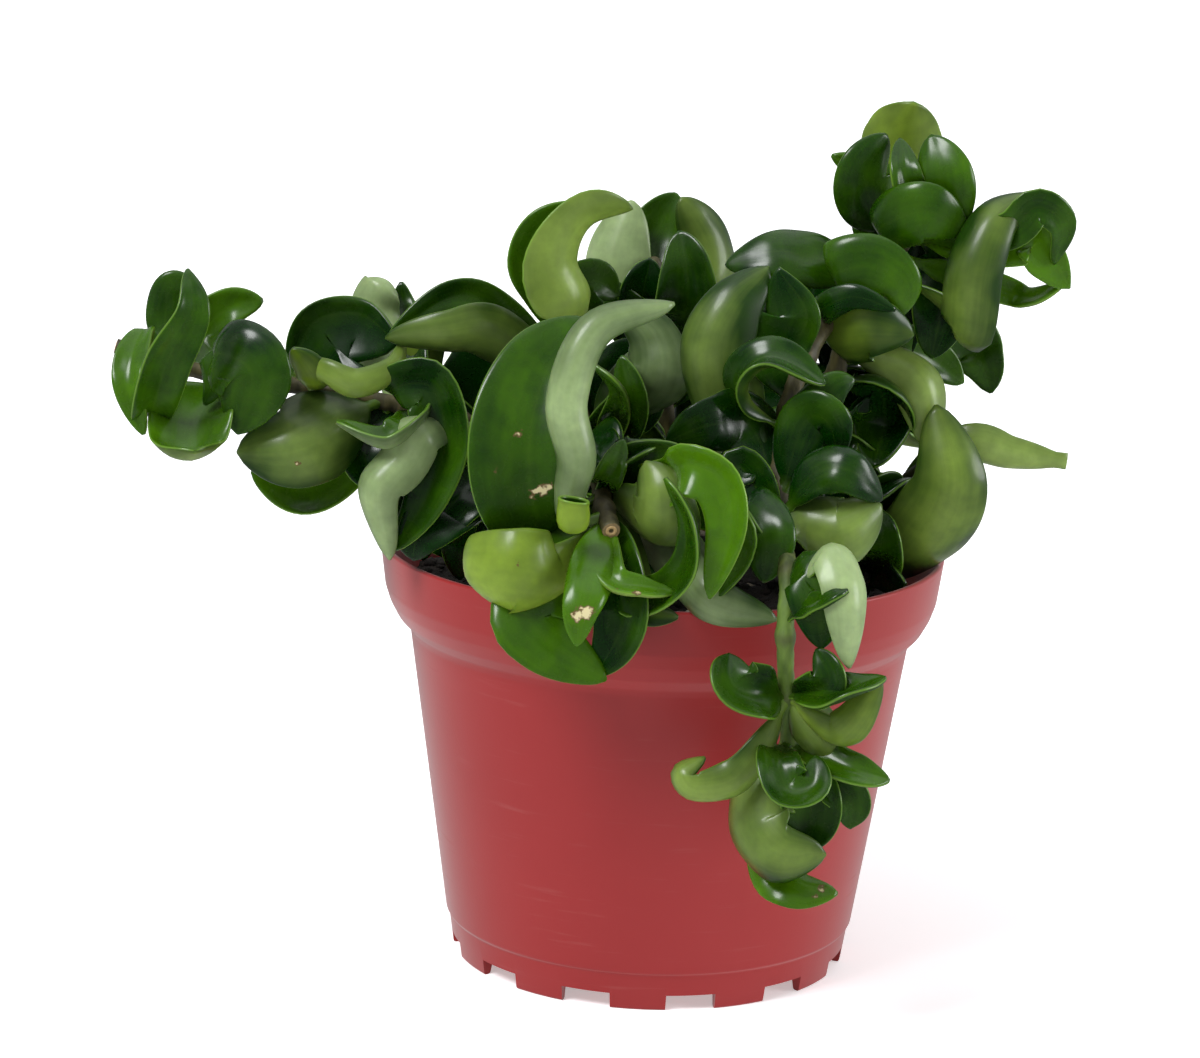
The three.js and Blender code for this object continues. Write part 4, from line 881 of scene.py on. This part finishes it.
# Materials
class Nodes:
    """A node tree in the making. What feeds a node is a plain value or another node's output."""

    def __init__(self, tree):
        self.tree = tree

    def put(self, kind, inputs, **settings):
        node = self.tree.nodes.new(kind)
        for key, value in settings.items():
            setattr(node, key, value)
        for key, value in inputs.items():
            if isinstance(value, bpy.types.NodeSocket):
                self.tree.links.new(value, node.inputs[key])
            else:
                node.inputs[key].default_value = value
        return node

    def value(self, name):
        return self.put("ShaderNodeAttribute", {}, attribute_name=name).outputs["Fac"]

    def noise(self, scale, detail, stretch=(1, 1, 1)):
        place = self.put("ShaderNodeTexCoord", {}).outputs["Object"]
        mapped = self.put("ShaderNodeMapping", {"Vector": place, "Scale": stretch}).outputs["Vector"]
        inputs = {"Vector": mapped, "Scale": scale, "Detail": detail}
        return self.put("ShaderNodeTexNoise", inputs).outputs["Fac"]

    def span(self, value, low, high, to_low=0.0, to_high=1.0):
        inputs = {"Value": value, "From Min": low, "From Max": high, "To Min": to_low, "To Max": to_high}
        return self.put("ShaderNodeMapRange", inputs).outputs["Result"]

    def clouds(self, scale, detail, low=0.0, high=1.0):
        return self.span(self.noise(scale, detail), *NOISE_RANGE, low, high)

    def blend(self, amount, first, second):
        return self.put("ShaderNodeMix", {0: amount, 6: first, 7: second}, data_type="RGBA").outputs[2]

    def calc(self, operation, first, second=0.0):
        return self.put("ShaderNodeMath", {0: first, 1: second}, operation=operation).outputs[0]

    def plus(self, first, second):
        return self.calc("ADD", first, second)

    def times(self, first, second):
        return self.calc("MULTIPLY", first, second)


class Look(Nodes):
    """A material, its surface and the nodes that feed it."""

    def __init__(self, name, **sockets):
        self.material = bpy.data.materials.new(name)
        self.material.use_nodes = True
        super().__init__(self.material.node_tree)
        self.surface = self.tree.nodes["Principled BSDF"]
        for socket, value in sockets.items():
            self.surface.inputs[socket.replace("_", " ")].default_value = value

    def feed(self, socket, value):
        self.tree.links.new(value, self.surface.inputs[socket])

    def bump(self, height, strength, distance):
        inputs = {"Height": height, "Strength": strength, "Distance": distance}
        self.feed("Normal", self.put("ShaderNodeBump", inputs).outputs["Normal"])


def srgb(*colour):
    """A colour of three numbers up to 255, as the light that it stands for."""
    parts = [part / 255 for part in colour]
    return (*(c / 12.92 if c <= 0.04045 else ((c + 0.055) / 1.055) ** 2.4 for c in parts), 1)


def leaf_material():
    gloss = {"Specular_IOR_Level": 0.28, "Coat_Weight": 0.12, "Coat_Roughness": 0.14}
    glow = {"Subsurface_Weight": 0.08, "Subsurface_Radius": (0.3, 1.0, 0.05), "Subsurface_Scale": 0.0015}
    look = Look("waxy leaf", **gloss, **glow)
    tone, under, grey, edge, along = map(look.value, ("tone", "under", "grey", "edge", "along"))
    # Faint streaks along the leaf, which differ from leaf to leaf
    lengthwise = {0: look.times(edge, 7), 1: look.times(along, 1.6), 2: look.times(tone, 40)}
    grain = look.put("ShaderNodeCombineXYZ", lengthwise).outputs["Vector"]
    streaks = look.put("ShaderNodeTexNoise", {"Vector": grain, "Scale": 1.0, "Detail": 4}).outputs["Fac"]
    mottle = look.clouds(420, 4)
    lively = look.plus(tone, look.clouds(90, 2, -0.14, 0.2))
    lively = look.plus(lively, look.span(streaks, *NOISE_RANGE, -0.04, 0.04))
    upper = look.blend(lively, srgb(4, 38, 0), srgb(80, 126, 6))
    # Undersides are painted palest along the back of the blade, as a painted highlight, and darker green
    # towards the margins, the tip and the stalk, as painted shade
    painted_ridge_highlight = look.span(edge, 0.15, 0.95, 0.16, -0.2)
    from_middle = look.calc("ABSOLUTE", look.calc("SUBTRACT", along, 0.55))
    painted_end_shade = look.span(from_middle, 0.1, 0.5, 0.06, -0.16)
    pale = look.plus(look.plus(tone, painted_ridge_highlight), look.plus(painted_end_shade, look.clouds(70, 2, -0.2, 0.26)))
    pale = look.plus(pale, look.span(streaks, *NOISE_RANGE, -0.05, 0.05))
    green_below = look.blend(pale, srgb(22, 52, 0), srgb(124, 150, 40))
    grey_below = look.blend(pale, srgb(38, 62, 18), srgb(150, 170, 122))
    below = look.blend(look.times(grey, 0.85), green_below, grey_below)
    skin = look.blend(under, upper, below)
    skin = look.blend(look.times(mottle, 0.22), skin, srgb(12, 38, 4))
    rib = look.times(look.span(edge, 0.0, 0.07, 1, 0), 0.05)
    skin = look.blend(rib, skin, srgb(100, 130, 40))
    stalk = look.times(look.span(along, 0.02, 0.16, 1, 0), 0.4)
    skin = look.blend(stalk, skin, srgb(90, 120, 34))
    margin = look.times(look.span(edge, 0.975, 0.996), 0.5)
    skin = look.blend(margin, skin, srgb(112, 150, 50))
    # Scars are dry and dull, with a brown border
    ragged = look.plus(look.value("scar"), look.clouds(1100, 3, -0.2, 0.2))
    dry = look.blend(look.span(ragged, 0.58, 0.72), srgb(92, 74, 40), srgb(196, 186, 142))
    look.feed("Base Color", look.blend(look.span(ragged, *SCAR_BORDER), skin, dry))
    dullness = look.plus(look.span(under, 0, 1, 0.25, 0.34), look.span(mottle, 0, 1, -0.03, 0.06))
    look.feed("Roughness", look.plus(dullness, look.span(ragged, *SCAR_BORDER, 0, 0.4)))
    look.bump(look.noise(200, 1.5), 0.06, 0.0008)
    return look.material


def stem_material():
    look = Look("woody stem", Roughness=0.6)
    green, cut, node = map(look.value, ("tone", "cut", "edge"))
    streaks = look.noise(500, 4, stretch=(1, 1, 0.35))
    light = look.span(streaks, *NOISE_RANGE)
    bark = look.blend(light, srgb(38, 36, 14), srgb(80, 74, 34))
    young = look.blend(light, srgb(58, 84, 22), srgb(100, 126, 44))
    skin = look.blend(green, bark, young)
    skin = look.blend(look.times(node, 0.5), skin, srgb(66, 58, 36))
    look.feed("Base Color", look.blend(cut, skin, srgb(176, 146, 98)))
    look.bump(streaks, 0.5, 0.0006)
    return look.material


def pot_material():
    look = Look("terracotta plastic", Specular_IOR_Level=0.4, Sheen_Weight=0.3, Sheen_Roughness=0.4)
    skin = look.blend(look.clouds(14, 3), srgb(141, 30, 30), srgb(149, 35, 35))
    scuffs = look.span(look.noise(60, 8, stretch=(1, 1, 14)), 0.62, 0.74)
    look.feed("Base Color", look.blend(look.times(scuffs, 0.05), skin, srgb(205, 140, 132)))
    look.feed("Roughness", look.span(scuffs, 0, 1, 0.38, 0.5))
    look.bump(look.noise(1800, 2), 0.05, 0.0002)
    return look.material


def soil_material():
    look = Look("potting mix", Roughness=0.95)
    skin = look.blend(look.clouds(700, 6), srgb(8, 6, 4), srgb(34, 25, 17))
    grit = look.span(look.value("tone"), 0.93, 0.96)
    look.feed("Base Color", look.blend(grit, skin, srgb(150, 140, 122)))
    look.bump(look.noise(1200, 5), 0.8, 0.0012)
    return look.material


def floor_material():
    look = Look("pale floor", Roughness=0.6, Emission_Color=(1, 1, 1, 1), Emission_Strength=FLOOR_GLOW)
    look.feed("Base Color", look.blend(look.clouds(3, 2), srgb(243, 243, 245), srgb(247, 247, 249)))
    return look.material


# Stage, lights and camera
WORLD_FRONT = 0.12
WORLD_REST = 0.44
FLOOR_GLOW = 0.4
FLOOR_HALF = 6.0
LIGHT_TARGET = (0, 0, 0.09)
LIGHT_COLOUR = (0.98, 0.99, 1.0)
WORLD_COLOUR = (0.97, 0.99, 1.0, 1)
# Each wide soft light: name, where it comes from, its strength and how wide it is in degrees
SUNS = (
    ("key", (-0.8, -0.7, 1.3), 2.8, 24),
    ("overhead", (0.3, 0.3, 1.6), 0.8, 70),
    ("right", (0.95, -0.1, 0.3), 1.9, 30),
)


def make_floor():
    mesh = bpy.data.meshes.new("floor")
    corners = [(x * FLOOR_HALF, y * FLOOR_HALF, 0) for x, y in ((-1, -1), (1, -1), (1, 1), (-1, 1))]
    mesh.from_pydata(corners, [], [(0, 1, 2, 3)])
    mesh.materials.append(floor_material())
    floor = bpy.data.objects.new("floor", mesh)
    bpy.context.scene.collection.objects.link(floor)
    # A white floor mirrored in the dark leaves would turn them grey
    floor.visible_glossy = False


def aim(thing, place):
    thing.location = place
    thing.rotation_euler = (Vector(LIGHT_TARGET) - Vector(place)).to_track_quat("-Z", "Y").to_euler()
    bpy.context.scene.collection.objects.link(thing)


def make_world():
    """Bright overhead, at the sides and behind, and dim where the photographer stands."""
    world = bpy.data.worlds.new("studio")
    world.use_nodes = True
    nodes = Nodes(world.node_tree)
    way = nodes.put("ShaderNodeSeparateXYZ", {0: nodes.put("ShaderNodeTexCoord", {}).outputs["Generated"]})
    high = nodes.span(way.outputs["Z"], -0.2, 0.9)
    behind = nodes.span(way.outputs["Y"], -0.9, 0.6)
    strength = nodes.span(nodes.calc("MAXIMUM", high, behind), 0, 1, WORLD_FRONT, WORLD_REST)
    background = world.node_tree.nodes["Background"]
    background.inputs["Color"].default_value = WORLD_COLOUR
    world.node_tree.links.new(strength, background.inputs["Strength"])
    bpy.context.scene.world = world


def make_lights():
    make_world()
    for name, place, power, spread in SUNS:
        sun = bpy.data.lights.new(name, "SUN")
        sun.energy, sun.angle, sun.color = power, math.radians(spread), LIGHT_COLOUR
        aim(bpy.data.objects.new(name, sun), place)


def make_camera():
    yaw, pitch, roll = (math.radians(a) for a in (CAMERA_YAW_DEG, CAMERA_PITCH_DEG, CAMERA_ROLL_DEG))
    ahead = Vector((math.sin(yaw) * math.cos(pitch), math.cos(yaw) * math.cos(pitch), -math.sin(pitch)))
    level = ahead.cross(Vector((0, 0, 1))).normalized()
    over = level.cross(ahead)
    right = math.cos(roll) * level + math.sin(roll) * over
    above = -math.sin(roll) * level + math.cos(roll) * over
    data = bpy.data.cameras.new("camera")
    data.sensor_width, data.lens = SENSOR_MM, LENS_MM
    camera = bpy.data.objects.new("camera", data)
    turn = Matrix((right, above, -ahead)).transposed().to_4x4()
    camera.matrix_world = Matrix.Translation(Vector(EYE) * MM) @ turn
    bpy.context.scene.collection.objects.link(camera)
    bpy.context.scene.camera = camera


def main():
    foliage = [leaf_material(), stem_material()]
    pieces = {"pot": make_pot(pot_material()), "soil": make_soil(soil_material())}
    for name, vine in VINES.items():
        pieces[f"vine_{name}"] = make_vine(name, vine, foliage)
    for node, piece in pieces.items():
        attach(piece, "root")
        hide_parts(node)
    make_floor()
    make_lights()
    make_camera()
    bpy.context.scene.view_settings.view_transform = "Standard"


main()
